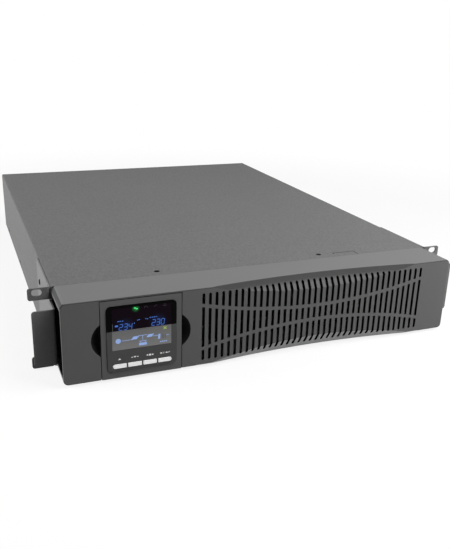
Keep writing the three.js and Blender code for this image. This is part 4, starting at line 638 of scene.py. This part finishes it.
def lit_mark(name, colour, strength):
    """A lit mark on the screen, with a slight unevenness of its backlight."""
    finish = Finish(name)
    uneven = finish.noise(1.2, detail=2)
    return finish.set(
        Base_Color=finish.shaded([value * 0.4 for value in colour], (uneven, 0.2)),
        Roughness=0.4,
        Specular_IOR_Level=0.06,
        Emission_Color=finish.shaded(colour, (uneven, 0.5)),
        Emission_Strength=strength,
    )


def printed_ink(name, colour):
    """Screen-printed ink with a fine mesh in its tone."""
    finish = Finish(name)
    weave = finish.noise(0.25, detail=2)
    tone = finish.shaded(colour, (weave, 0.2))
    return finish.set(Base_Color=tone, Roughness=finish.between(weave, 0.45, 0.6), Specular_IOR_Level=0.2)


def board_mask(name, colours):
    """Solder mask over copper tracks, with plated pads."""
    finish = Finish(name)
    tracks = finish.between(finish.cells(9, feature="DISTANCE_TO_EDGE"), 1, 0, 0.03, 0.06)
    pads = finish.between(finish.cells(5.5), 1, 0, 0.1, 0.14)
    lighter = [min(1, value * 1.9) for value in colours.board]
    masked = finish.mixed(tracks, finish.shaded(colours.board, (finish.noise(3), 0.15)), lighter)
    return finish.set(
        Base_Color=finish.mixed(pads, masked, colours.pad),
        Roughness=finish.between(pads, 0.4, 0.3, 0, 1),
        Normal=finish.emboss(tracks, 0.05, 0.6),
    )


def extruded_metal(name, colour):
    """Extruded aluminium with die lines along X."""
    finish = Finish(name)
    lines = finish.noise(0.5, detail=4, place=finish.stretched(0.02, 1, 1))
    tone = finish.shaded(colour, (lines, 0.18))
    return finish.grained(tone, lines, (0.28, 0.42), (0.03, 0.6), Metallic=0.95)


def wound_wire(name, colour):
    """Enamelled wire in close turns."""
    finish = Finish(name)
    values = {"Vector": finish.place, "Scale": 260, "Distortion": 1.5, "Detail": 1}
    turns = finish.add("ShaderNodeTexWave", values, bands_direction="DIAGONAL").outputs["Fac"]
    tone = finish.shaded(colour, (turns, 0.5), (finish.noise(5), 0.2))
    return finish.grained(tone, turns, (0.3, 0.45), (0.4, 0.7), Metallic=0.6)


# Mesh code. Outlines are lists of (x, z) in millimetres, seen from the front.


def new_object(name, data):
    """A new object in the scene."""
    made = bpy.data.objects.new(name, data)
    bpy.context.scene.collection.objects.link(made)
    return made


def new_piece(name, mesh, finish, body="case", smooth=None):
    """Makes an object of a bmesh in millimetres, in a finish, riding on a CAD body."""
    bmesh.ops.recalc_face_normals(mesh, faces=mesh.faces)
    data = bpy.data.meshes.new(name)
    mesh.to_mesh(data)
    mesh.free()
    data.transform(Matrix.Scale(MM, 4))
    data.materials.append(finish)
    if smooth is not None:
        data.shade_smooth()
        data.set_sharp_from_angle(angle=math.radians(smooth))
    piece = new_object(name, data)
    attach(piece, body)
    return piece


def bands(mesh, loops):
    """Quadrilaterals between each loop of vertices and the next one."""
    for first, second in zip(loops, loops[1:]):
        for n in range(len(first)):
            mesh.faces.new((first[n - 1], first[n], second[n], second[n - 1]))


def lofts_piece(name, solids, finish, body="case", smooth=None):
    """One piece of closed solids, each through (depth, outline) sections of equally many points."""
    mesh = bmesh.new()
    for sections in solids:
        rows = [[mesh.verts.new((x, depth, z)) for x, z in outline] for depth, outline in sections]
        mesh.faces.new(rows[0])
        mesh.faces.new(rows[-1][::-1])
        bands(mesh, rows)
    new_piece(name, mesh, finish, body, smooth)


def plates_piece(name, outlines, depths, finish, body="case"):
    """One piece of many flat plates that stand between two depths."""
    solids = [[(depth, outline) for depth in depths] for outline in outlines]
    lofts_piece(name, solids, finish, body)


def marks_piece(name, outlines, face, finish):
    """One piece of thin marks on a face of the display."""
    depths = (face + MARK_SINK, face - settings().sizes.print_rise / MM)
    plates_piece(name, outlines, depths, finish, "display")


def rectangle(x, z, width, height, slant=0.0):
    """A rectangle about a middle point, sheared by a slant."""
    w, h = width / 2, height / 2
    corners = [(-w, -h), (w, -h), (w, h), (-w, h)]
    return [(x + across + slant * up, z + up) for across, up in corners]


def rounded(x, z, width, height, corner, steps=4):
    """A rectangle about a middle point with rounded corners."""
    w, h = width / 2 - corner, height / 2 - corner
    points = []
    for quarter, (sx, sz) in enumerate([(1, -1), (1, 1), (-1, 1), (-1, -1)]):
        for step in range(steps + 1):
            angle = math.pi / 2 * (quarter - 1 + step / steps)
            points.append((x + sx * w + corner * math.cos(angle), z + sz * h + corner * math.sin(angle)))
    return points


def ring(x, z, radius, sides=20):
    turns = [2 * math.pi * side / sides for side in range(sides)]
    return [(x + radius * math.cos(turn), z + radius * math.sin(turn)) for turn in turns]


def stroke(points, width):
    """Outlines of a line through points, one quadrilateral for each stretch, mitred where they meet."""
    sides = []
    for n, (x, z) in enumerate(points):
        before = points[max(n - 1, 0)]
        after = points[min(n + 1, len(points) - 1)]
        along = Vector((after[0] - before[0], after[1] - before[1])).normalized()
        offset = Vector((-along.y, along.x)) * width / 2
        sides.append(((x + offset.x, z + offset.y), (x - offset.x, z - offset.y)))
    return [[start[1], end[1], end[0], start[0]] for start, end in zip(sides, sides[1:])]


def strokes(lines, width):
    return [outline for line in lines for outline in stroke(line, width)]


def seven_bar(digit, x, z, sizes):
    """The bars of one slanted digit whose lower left corner is at x, z."""
    half, bar = sizes.digit_height / MM / 2, sizes.bar_width / MM
    width = DIGIT_WIDTH * sizes.digit_pitch / MM
    bars = []
    for name in DIGIT_BARS[digit]:
        start, end = (Vector((across * width, up * half)) for across, up in BAR_ENDS[name])
        along = (end - start).normalized()
        side = Vector((-along.y, along.x)) * bar / 2
        tip = along * bar / 2
        start, end = start + along * BAR_GAP, end - along * BAR_GAP
        corners = [start, start + tip + side, end - tip + side, end, end - tip - side, start + tip - side]
        bars.append([(x + point.x + DIGIT_SLANT * point.y, z + point.y) for point in corners])
    return bars


def screw_mesh(mesh, spot, rings, drive, depth):
    """Adds a cross-recessed screw of (radius, height) rings. The spot's Z points out of the surface."""
    loops = []
    for radius, height in rings:
        points = [Vector((across, up, height)) for across, up in ring(0, 0, radius, HEAD_SIDES)]
        loops.append([mesh.verts.new(spot @ point) for point in points])
    bands(mesh, loops)
    mesh.faces.new(loops[0][::-1])
    rim_radius, top_z = rings[-1]
    reach, arm = min(drive, rim_radius * DRIVE_LIMIT), drive * ARM_SHARE
    cross = []
    for quarter in range(4):
        turn = Matrix.Rotation(math.pi / 2 * quarter, 3, "Z")
        cross += [turn @ Vector(point) for point in ((arm, -arm, 0), (reach, -arm, 0), (reach, arm, 0))]
    taper_x, taper_y = DRIVE_TAPERS
    top = [mesh.verts.new(spot @ (point + Vector((0, 0, top_z)))) for point in cross]
    floor = [mesh.verts.new(spot @ Vector((p.x * taper_x, p.y * taper_y, top_z - depth))) for p in cross]
    edges = [mesh.edges.new((top[n - 1], top[n])) for n in range(len(top))]
    rim = [mesh.edges.get((loops[-1][n - 1], loops[-1][n])) for n in range(HEAD_SIDES)]
    bmesh.ops.triangle_fill(mesh, use_beauty=True, use_dissolve=False, edges=edges + rim)
    bands(mesh, [top, floor])
    mesh.faces.new(floor)


def flat_head(radius, head, shank=1.5):
    """Rings of a countersunk head whose face is at height 0."""
    return [(shank, -head), (radius * 0.99, -0.25), (radius, -0.12), (radius * 0.97, 0.0)]


def knurled_head(radius, head):
    """Rings of a thumb screw's head, with a groove round it."""
    return [
        (radius * 0.94, -head),
        (radius, -head + 0.3),
        (radius, -head * 0.55),
        (radius * 0.93, -head * 0.5),
        (radius, -head * 0.45),
        (radius, -0.35),
        (radius * 0.92, 0.0),
    ]


def domed_head(radius, head):
    """Rings of a pan head whose crown is near height 0."""
    crown = [(radius * math.cos(turn), head * (math.sin(turn) - 1) * 0.9) for turn in (0.0, 0.35, 0.7, 1.0)]
    return [(radius, -head), *crown]


def facing(direction, place):
    """A matrix at a place, whose Z axis points in that direction."""
    turn = Vector(direction).to_track_quat("Z", "Y").to_matrix().to_4x4()
    return Matrix.Translation(place) @ turn


def on_end(node, direction):
    """A matrix in the middle of a CAD node's end in that direction, a little below its surface."""
    low, high = span(node)
    reach = [size / 2 - HEAD_SINK for size in high - low]
    return facing(direction, centre(node) + Vector([way * part for way, part in zip(direction, reach)]))


def screws_piece(name, spots, finish, rings, replaced=()):
    """One piece of several like screws on the case."""
    sizes = settings().sizes
    mesh = bmesh.new()
    for spot in spots:
        screw_mesh(mesh, spot, rings, sizes.drive / MM, sizes.drive_depth / MM)
    piece = new_piece(name, mesh, finish, smooth=35)
    if replaced:
        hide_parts(*replaced)


def leaves(x, z, gap, width, thickness, level):
    """Two bowed spring leaves that face each other across a slot, upright or level."""
    solids = []
    for side in (-1, 1):
        sections = []
        for depth, bow in LEAF_BENDS:
            near = side * (gap / 2 - LEAF_CLEARANCE - thickness - bow)
            far = near + side * thickness
            corners = [(near, -width / 2), (far, -width / 2), (far, width / 2), (near, width / 2)]
            if level:
                corners = [(up, across) for across, up in corners]
            sections.append((FLANGE_FACE + depth, [(x + across, z + up) for across, up in corners]))
        solids.append(sections)
    return solids


def dress(finish, edge, *names):
    """Gives CAD nodes their finish and, by modifiers, rounded edges."""
    for name in names:
        piece = NODES[name]
        piece.data.materials.clear()
        piece.data.materials.append(finish)
        if edge:
            merge = piece.modifiers.new("Flat faces", "DECIMATE")
            merge.decimate_type = "DISSOLVE"
            merge.angle_limit = math.radians(0.6)
            bevel = piece.modifiers.new("Edges", "BEVEL")
            bevel.limit_method = "ANGLE"
            bevel.angle_limit = math.radians(38)
            bevel.width = edge
            bevel.segments = 2
            bevel.harden_normals = True
            bevel.use_clamp_overlap = True


# Operators, one for each piece or group of like pieces.


class POWER_OT_sheet(bpy.types.Operator):
    """Paint the folded steel case, its rear panel and the rack ears"""

    bl_idname = "power.sheet"
    bl_label = "Painted steel"

    def execute(self, context):
        colours, edge = settings().case, settings().sizes.sheet_edge
        paint = powder_paint("Powder paint", colours.sheet)
        dress(paint, edge, "top_cover", "base_tray", "rear_panel", "slot_cover")
        smooth = powder_paint("Smooth paint", colours.ears, coarse=0.2)
        dress(smooth, edge, "rack_ear_left", "rack_ear_right")
        # Painted shade: the black coat on the battery door and the bulkhead makes the inside look dark behind
        # the grille.
        dress(powder_paint("Black coat", colours.recess_shade), edge, "battery_door", "front_bulkhead")
        dress(zinc_plate("Zinc plate", colours.zinc), edge, "battery_tray")
        return {"FINISHED"}


class POWER_OT_bezel(bpy.types.Operator):
    """Give the moulded bezel and the display housing their plastic"""

    bl_idname = "power.bezel"
    bl_label = "Bezel"

    def execute(self, context):
        colours = settings().case
        plastic = bezel_plastic("Bezel plastic", colours.bezel, colours.recess_shade)
        dress(plastic, 0, "front_bezel")
        dress(plastic, settings().sizes.moulded_edge, "display_housing")
        dress(moulded("Display back", colours.socket), 0, "display_back")
        return {"FINISHED"}


class POWER_OT_panel(bpy.types.Operator):
    """Finish the control panel: film, screen and keys"""

    bl_idname = "power.panel"
    bl_label = "Control panel"

    def execute(self, context):
        colours, edge = settings().display, settings().sizes.moulded_edge
        dress(panel_film("Panel film", colours), edge, "display_overlay")
        dress(screen_glass("Screen glass", colours), 0, "display_screen")
        keys = moulded("Key plastic", colours.key, rough=0.42, spark=0.012, lit=colours.backlight)
        dress(keys, edge, *nodes_named("display_key"))
        dress(board_mask("Display board", settings().inner), 0, "display_board")
        return {"FINISHED"}


class POWER_OT_readout(bpy.types.Operator):
    """Light the digits and marks on the screen"""

    bl_idname = "power.readout"
    bl_label = "Lit readout"

    def execute(self, context):
        sizes, colours = settings().sizes, settings().display
        pitch = sizes.digit_pitch / MM
        digits = [rectangle(x, z, width, 0.8) for x, z, width in DASHES]
        digits += [rounded(*BATTERY_MARK), rectangle(*UNIT_MARK)]
        for text, x, z in DIGIT_ROWS:
            for number, digit in enumerate(text):
                digits += seven_bar(digit, x + number * pitch, z, sizes)
        self.marks("digits", digits, lit_mark("Lit digits", colours.digit, 0.8))
        figures = [ring(*SOURCE_RING), *(rectangle(*block) for block in FLOW_BLOCKS)]
        figures += strokes(FLOW_LINES, 0.5)
        self.marks("figures", figures, lit_mark("Lit figures", colours.figure, 0.72))
        faint = [rectangle(*block) for block in FAINT_BLOCKS]
        self.marks("faint_figures", faint, lit_mark("Faint figures", colours.pale_glass, 0.35))
        x, z = LAMP_PLACE
        width, rise = LAMP_WAVE
        shares = [step / 12 for step in range(13)]
        wave = [(x + width * (share - 0.5), z + rise * math.sin(2 * math.pi * share)) for share in shares]
        self.marks("lamp", stroke(wave, 0.9), lit_mark("Lit lamp", colours.lamp, 1.0))
        self.marks("cross", strokes(WARM_CROSS, 0.7), lit_mark("Warm mark", colours.warm, 0.7))
        unlit = strokes(UNLIT_LINES, 0.45)
        self.marks("unlit_marks", unlit, printed_ink("Unlit marks", colours.unlit))
        return {"FINISHED"}

    def marks(self, name, outlines, finish):
        """Marks on the screen, whose outlines start from its lower left corner."""
        left, face, foot = SCREEN_LOW
        placed = [[(left + x, foot + z) for x, z in outline] for outline in outlines]
        marks_piece(f"readout_{name}", placed, face, finish)


class POWER_OT_key_marks(bpy.types.Operator):
    """Print a plain mark over each key"""

    bl_idname = "power.key_marks"
    bl_label = "Key marks"

    def execute(self, context):
        colours = settings().display
        up, down, choose, accept = sorted(centre(node).x for node in nodes_named("display_key"))
        z = span("display_key_1")[1].z + KEY_MARK_RISE
        low, high, line = z - KEY_MARK_HALF, z + KEY_MARK_HALF, z - 0.1
        marks = [
            [(up - 1.5, low), (up + 1.5, low), (up, high)],
            [(down - 1.5, high), (down, low), (down + 1.5, high)],
            rectangle(down - 2.8, z, 1.7, 0.7),
            rectangle(down + 2.8, z, 1.7, 0.7),
            rounded(choose, z, 2.2, 1.9, 0.4),
            [(choose - 1.9, low), (choose - 4.1, z), (choose - 1.9, high)],
            [(choose + 1.9, low), (choose + 4.1, z), (choose + 1.9, high)],
            [(accept + across, line + up) for across, up in RETURN_HEAD],
        ]
        lines = [
            [(accept - 4.8, low), (accept - 2.8, high)],
            [(accept - 4.8, high), (accept - 2.8, low)],
            [(accept - 1.6, low), (accept - 0.8, high)],
            [(accept + 4.8, high), (accept + 4.8, line), (accept + 1.8, line)],
        ]
        light = lit_mark("Key marks", colours.key, 1.4 * colours.backlight)
        face = span("display_overlay")[0].y
        marks_piece("key_marks", marks + strokes(lines, 0.5), face, light)
        return {"FINISHED"}


class POWER_OT_screws(bpy.types.Operator):
    """Put cross-recessed screws in the cover, sides, ears, slot cover and fans"""

    bl_idname = "power.screws"
    bl_label = "Screws"

    def execute(self, context):
        colours = settings().case
        black, sunk = screw_steel("Black steel", colours.screw), flat_head(*SUNK_HEAD)
        self.heads("cover_screw", "cross_screw", (0, 0, 1), black, sunk)
        for side, word in ((-1, "left"), (1, "right")):
            out = (side, 0, 0)
            self.heads(f"side_screw_{word}", "cross_screw", out, black, sunk)
            x = side * (EAR_LEG_FACE + EAR_HEAD[1])
            spots = [facing(out, (x, y, z)) for y in EAR_SCREW_DEPTHS for z in EAR_SCREW_HEIGHTS]
            screws_piece(f"ear_screws_{word}", spots, black, domed_head(*EAR_HEAD))
        bright = screw_steel("Bright steel", colours.zinc, metal=0.9, rough=0.4)
        self.heads("slot_screw", "thumb_screw", (0, 1, 0), bright, knurled_head(*THUMB_HEAD))
        spots = []
        for node in ("fan_1_frame", "fan_2_frame"):
            (left, _, _), (right, _, _) = span(node)
            x, _, z = centre(node)
            reach, y = (right - left) / 2 - FAN_SCREW_INSET, REAR_SKIN + FAN_HEAD[1]
            corners = [(x + across * reach, y, z + up * reach) for across in (-1, 1) for up in (-1, 1)]
            spots += [facing((0, 1, 0), corner) for corner in corners]
        screws_piece("fan_screws", spots, black, domed_head(*FAN_HEAD))
        return {"FINISHED"}

    def heads(self, start, kind, direction, finish, rings):
        """A screw in place of each plain one whose name has that start."""
        for node in nodes_named(start):
            name = node.replace("screw", kind)
            screws_piece(name, [on_end(node, direction)], finish, rings, [node])


class POWER_OT_fans(bpy.types.Operator):
    """Finish the fans and put a bare label on each hub"""

    bl_idname = "power.fans"
    bl_label = "Fans"

    def execute(self, context):
        values = settings()
        glass_filled = moulded("Fan plastic", values.case.socket, rough=0.5, spark=0.02)
        dress(glass_filled, 0, *nodes_named("fan_"))
        paper = printed_ink("Bare label", values.inner.label)
        for number in (1, 2):
            node = f"fan_{number}_frame"
            middle, back = centre(node), span(node)[1].y
            label = ring(middle.x, middle.z, FAN_LABEL_RADIUS, 36)
            depths = [back + depth for depth in FAN_LABEL_DEPTHS]
            plates_piece(f"fan_label_{number}", [label], depths, paper)
        return {"FINISHED"}


class POWER_OT_sockets(bpy.types.Operator):
    """Finish the rear sockets, ports and breaker"""

    bl_idname = "power.sockets"
    bl_label = "Rear sockets"

    def execute(self, context):
        colours, edge = settings().case, settings().sizes.moulded_edge * 0.6
        black = moulded("Socket plastic", colours.socket, rough=0.46, spark=0.015)
        dress(black, edge, *nodes_named("outlet_"), "mains_inlet", "battery_port", "breaker_body")
        dress(moulded("Button plastic", colours.button, rough=0.4), edge, "breaker_button")
        dress(moulded("Terminal plastic", colours.terminal, rough=0.45), edge, "epo_terminal")
        dress(zinc_plate("Connector shell", colours.zinc), edge * 0.5, "serial_port", "usb_port")
        return {"FINISHED"}


class POWER_OT_contacts(bpy.types.Operator):
    """Fit spring leaves, blades and sleeves in the rear sockets"""

    bl_idname = "power.contacts"
    bl_label = "Contacts"

    def execute(self, context):
        values = settings()
        metal = contact_metal("Contact metal", values.case.contact)
        leaf, plating = values.sizes.leaf / MM, values.sizes.pin_sleeve / MM
        for block in ("outlet_block_lower", "outlet_block_upper"):
            self.outlets(block, OUTLET_PLACES, 5, (1.8, 3.6, leaf), metal)
        self.outlets("outlet_large", (0,), 6.5, (2.4, 5.4, leaf), metal)
        self.blades("inlet_blades", "mains_inlet", INLET_PINS, 8, plating, metal)
        self.blades("battery_port_blades", "battery_port", PORT_PINS, 7, plating, metal)
        self.serial_face(metal, moulded("Insulator", values.case.socket, rough=0.5))
        clamps = [rounded(x, z, 2.6, 0.7, 0.2) for x in (-2.5, 2.5) for z in (-1.5, 1.5)]
        self.plates("terminal_clamps", "epo_terminal", clamps, (-5, -0.9), metal)
        strips = [rectangle(x, z, 0.9, 0.12) for x in (-1.3, 1.3) for z in (-1.66, 1.66)]
        self.plates("data_port_strips", "usb_port", strips, (-6, -1.4), metal)
        return {"FINISHED"}

    def outlets(self, node, places, spread, sizes, metal):
        """Pairs of leaves of (gap, width, thickness) in a node's outlets, level in a lone outlet."""
        middle = centre(node)
        solids = []
        for place in places:
            for across, up in ((-spread, LIVE_DROP), (spread, LIVE_DROP), (0, EARTH_RISE)):
                x, z = middle.x + place + across, middle.z + up
                solids += leaves(x, z, *sizes, level=len(places) == 1)
        lofts_piece(f"{node}_contacts", solids, metal, smooth=40)

    def blades(self, name, node, pins, width, plating, metal):
        """Plated blades over the pins of a socket."""
        middle = centre(node)
        tip = FLANGE_FACE - PIN_SETBACK + plating
        solids = []
        for x, z in pins:
            sections = []
            for depth, trim in BLADE_TIP:
                wide, high = (size + 2 * plating - trim for size in (width, 2))
                sections.append((tip + depth, rounded(middle.x + x, middle.z + z, wide, high, 0.4, 2)))
            solids.append(sections)
        lofts_piece(name, solids, metal, smooth=40)

    def serial_face(self, metal, plastic):
        """The serial port's insulator and its nine sleeves."""
        face = rounded(0, 0, 15.2, 6.4, 1.6)
        self.plates("serial_insulator", "serial_port", [face], (-0.8, 1.6), plastic, "black_plastic")
        middle = centre("serial_port")
        solids = []
        for up, count in SERIAL_ROWS:
            for place in range(count):
                x, z = middle.x + (place - (count - 1) / 2) * SERIAL_STEP, middle.z + up
                solids.append([(FLANGE_FACE + rise, ring(x, z, radius, 12)) for radius, rise in SLEEVE_MOUTH])
        lofts_piece("serial_sleeves", solids, metal, smooth=40)

    def plates(self, name, node, outlines, depths, finish, slot_name="zinc_steel"):
        """Plates about the middle of a node, at depths from the sockets' flanges."""
        middle = centre(node)
        placed = [[(middle.x + x, middle.z + z) for x, z in outline] for outline in outlines]
        plates_piece(name, placed, [FLANGE_FACE + depth for depth in depths], finish)


class POWER_OT_inside(bpy.types.Operator):
    """Finish the batteries, boards and power parts inside the case"""

    bl_idname = "power.inside"
    bl_label = "Inside"

    def execute(self, context):
        values = settings()
        colours = values.inner
        battery = moulded("Battery case", colours.battery, rough=0.5)
        dress(battery, values.sizes.moulded_edge, *(f"battery_{number}" for number in range(1, 7)))
        dress(board_mask("Solder mask", colours), 0, "main_board", "filter_board", "control_board")
        dress(extruded_metal("Heatsink metal", colours.heatsink), 0, *nodes_named("heatsink_"))
        sleeve = moulded("Capacitor sleeve", colours.sleeve, rough=0.35, spark=0.01)
        dress(sleeve, 0, *nodes_named("bus_capacitor"))
        dress(wound_wire("Copper wire", colours.copper), 0, "boost_choke", "output_choke", "filter_choke")
        ferrite = moulded("Transformer", values.case.socket, rough=0.55)
        dress(ferrite, 0, "charger_transformer", "bus_transformer")
        return {"FINISHED"}


class POWER_OT_stage(bpy.types.Operator):
    """Set the floor, the lamps, the world and the camera"""

    bl_idname = "power.stage"
    bl_label = "Stage"

    def execute(self, context):
        stage = settings().stage
        self.floor(stage)
        self.world(stage)
        self.softbox("Left softbox", (-1.7, 0.25, 0.55), (0, 0, 0.04), 0.8, stage.left_lamp)
        self.softbox("Top softbox", (0.48, -0.55, 0.98), (0.05, -0.1, 0.04), 0.8, stage.top_lamp)
        self.softbox("Right softbox", (0.5, -0.5, 0.15), (0.15, -0.3, 0.04), 0.25, stage.right_lamp)
        self.softbox("Fill softbox", (-0.9, -1.5, 0.5), (-0.1, -0.3, 0.04), 0.8, stage.fill_lamp)
        self.softbox("Rear softbox", (1.2, 1.2, 0.05), (0.1, 0.2, 0.04), 0.2, stage.rear_lamp)
        self.camera(stage)
        return {"FINISHED"}

    def floor(self, stage):
        """A wide floor just under the object that fades to the backdrop away from it."""
        mesh = bmesh.new()
        bmesh.ops.create_grid(mesh, x_segments=8, y_segments=8, size=FLOOR_REACH)
        data = bpy.data.meshes.new("studio_floor")
        mesh.to_mesh(data)
        mesh.free()
        floor = new_object("studio_floor", data)
        floor.location.z = CAD_BOX[0].z - FLOOR_GAP
        finish = Finish("Studio floor")
        mottle = finish.noise(400, detail=2)
        seen = finish.seen()
        finish.set(
            Base_Color=finish.shaded(finish.mixed(seen, stage.floor, stage.backdrop), (mottle, 0.02)),
            Roughness=0.9,
            Specular_IOR_Level=0.1,
            Normal=finish.emboss(mottle, 0.5, 0.1),
        )
        white = finish.add("ShaderNodeEmission", {"Color": stage.backdrop, "Strength": 1.0})
        share = finish.between(finish.spot(0, 0, 0, stage.floor_reach / MM), 1, stage.floor_glow, 0, 0.4)
        mix = finish.add("ShaderNodeMixShader", {"Fac": finish.times(seen, share)})
        finish.join(mix.inputs[1], finish.shader.outputs[0])
        finish.join(mix.inputs[2], white.outputs[0])
        finish.join(finish.tree.nodes["Material Output"].inputs["Surface"], mix.outputs[0])
        data.materials.append(finish.material)

    def world(self, stage):
        """Even light, and the backdrop behind it."""
        world = bpy.data.worlds.new("Studio")
        bpy.context.scene.world = world
        nodes = Nodes(world)
        background = nodes.tree.nodes["Background"].inputs
        nodes.join(background["Strength"], nodes.between(nodes.seen(), stage.ambient, 1, 0, 1))
        nodes.join(background["Color"], stage.backdrop)

    def softbox(self, name, place, target, size, power):
        """A square lamp at a place, turned to a target, all in metres."""
        light = bpy.data.lights.new(name, "AREA")
        light.shape = "SQUARE"
        light.size = size
        light.energy = power
        new_object(name, light).matrix_world = facing(Vector(place) - Vector(target), place)

    def camera(self, stage):
        """The camera at its eye, turned by its three angles."""
        data = bpy.data.cameras.new("Camera")
        data.lens = stage.lens
        data.sensor_width = 36
        data.clip_start = 0.02
        data.clip_end = 200
        camera = new_object("Camera", data)
        climb = Matrix.Rotation(math.pi / 2 - stage.climb, 4, "X")
        turned = Matrix.Rotation(stage.turn, 4, "Z") @ climb @ Matrix.Rotation(stage.roll, 4, "Z")
        camera.matrix_world = Matrix.Translation(stage.eye) @ turned
        bpy.context.scene.camera = camera
        bpy.context.scene.view_settings.view_transform = "Standard"


STEPS = (
    POWER_OT_sheet,
    POWER_OT_bezel,
    POWER_OT_panel,
    POWER_OT_readout,
    POWER_OT_key_marks,
    POWER_OT_screws,
    POWER_OT_fans,
    POWER_OT_sockets,
    POWER_OT_contacts,
    POWER_OT_inside,
    POWER_OT_stage,
)


class POWER_PT_dressing(bpy.types.Panel):
    """Lists the steps in the order in which they run, and the values"""

    bl_idname = "POWER_PT_dressing"
    bl_label = "Power supply"
    bl_space_type = "VIEW_3D"
    bl_region_type = "UI"
    bl_category = "Power supply"

    def draw(self, context):
        for step in STEPS:
            self.layout.operator(step.bl_idname)
        for group in DressingSettings.__annotations__:
            values = getattr(context.scene.power_dressing, group)
            column = self.layout.column(align=True)
            for name in values.bl_rna.properties.keys():
                if name not in ("rna_type", "name"):
                    column.prop(values, name)


GROUPS = (CaseColours, DisplayColours, InnerColours, DetailSizes, StageValues, DressingSettings)
CLASSES = (*GROUPS, *STEPS, POWER_PT_dressing)


def register():
    for made in CLASSES:
        bpy.utils.register_class(made)
    bpy.types.Scene.power_dressing = PointerProperty(type=DressingSettings)


def unregister():
    del bpy.types.Scene.power_dressing
    for made in reversed(CLASSES):
        bpy.utils.unregister_class(made)


def main():
    register()
    for step in STEPS:
        group, name = step.bl_idname.split(".")
        getattr(getattr(bpy.ops, group), name)()


if __name__ == "__main__":
    main()
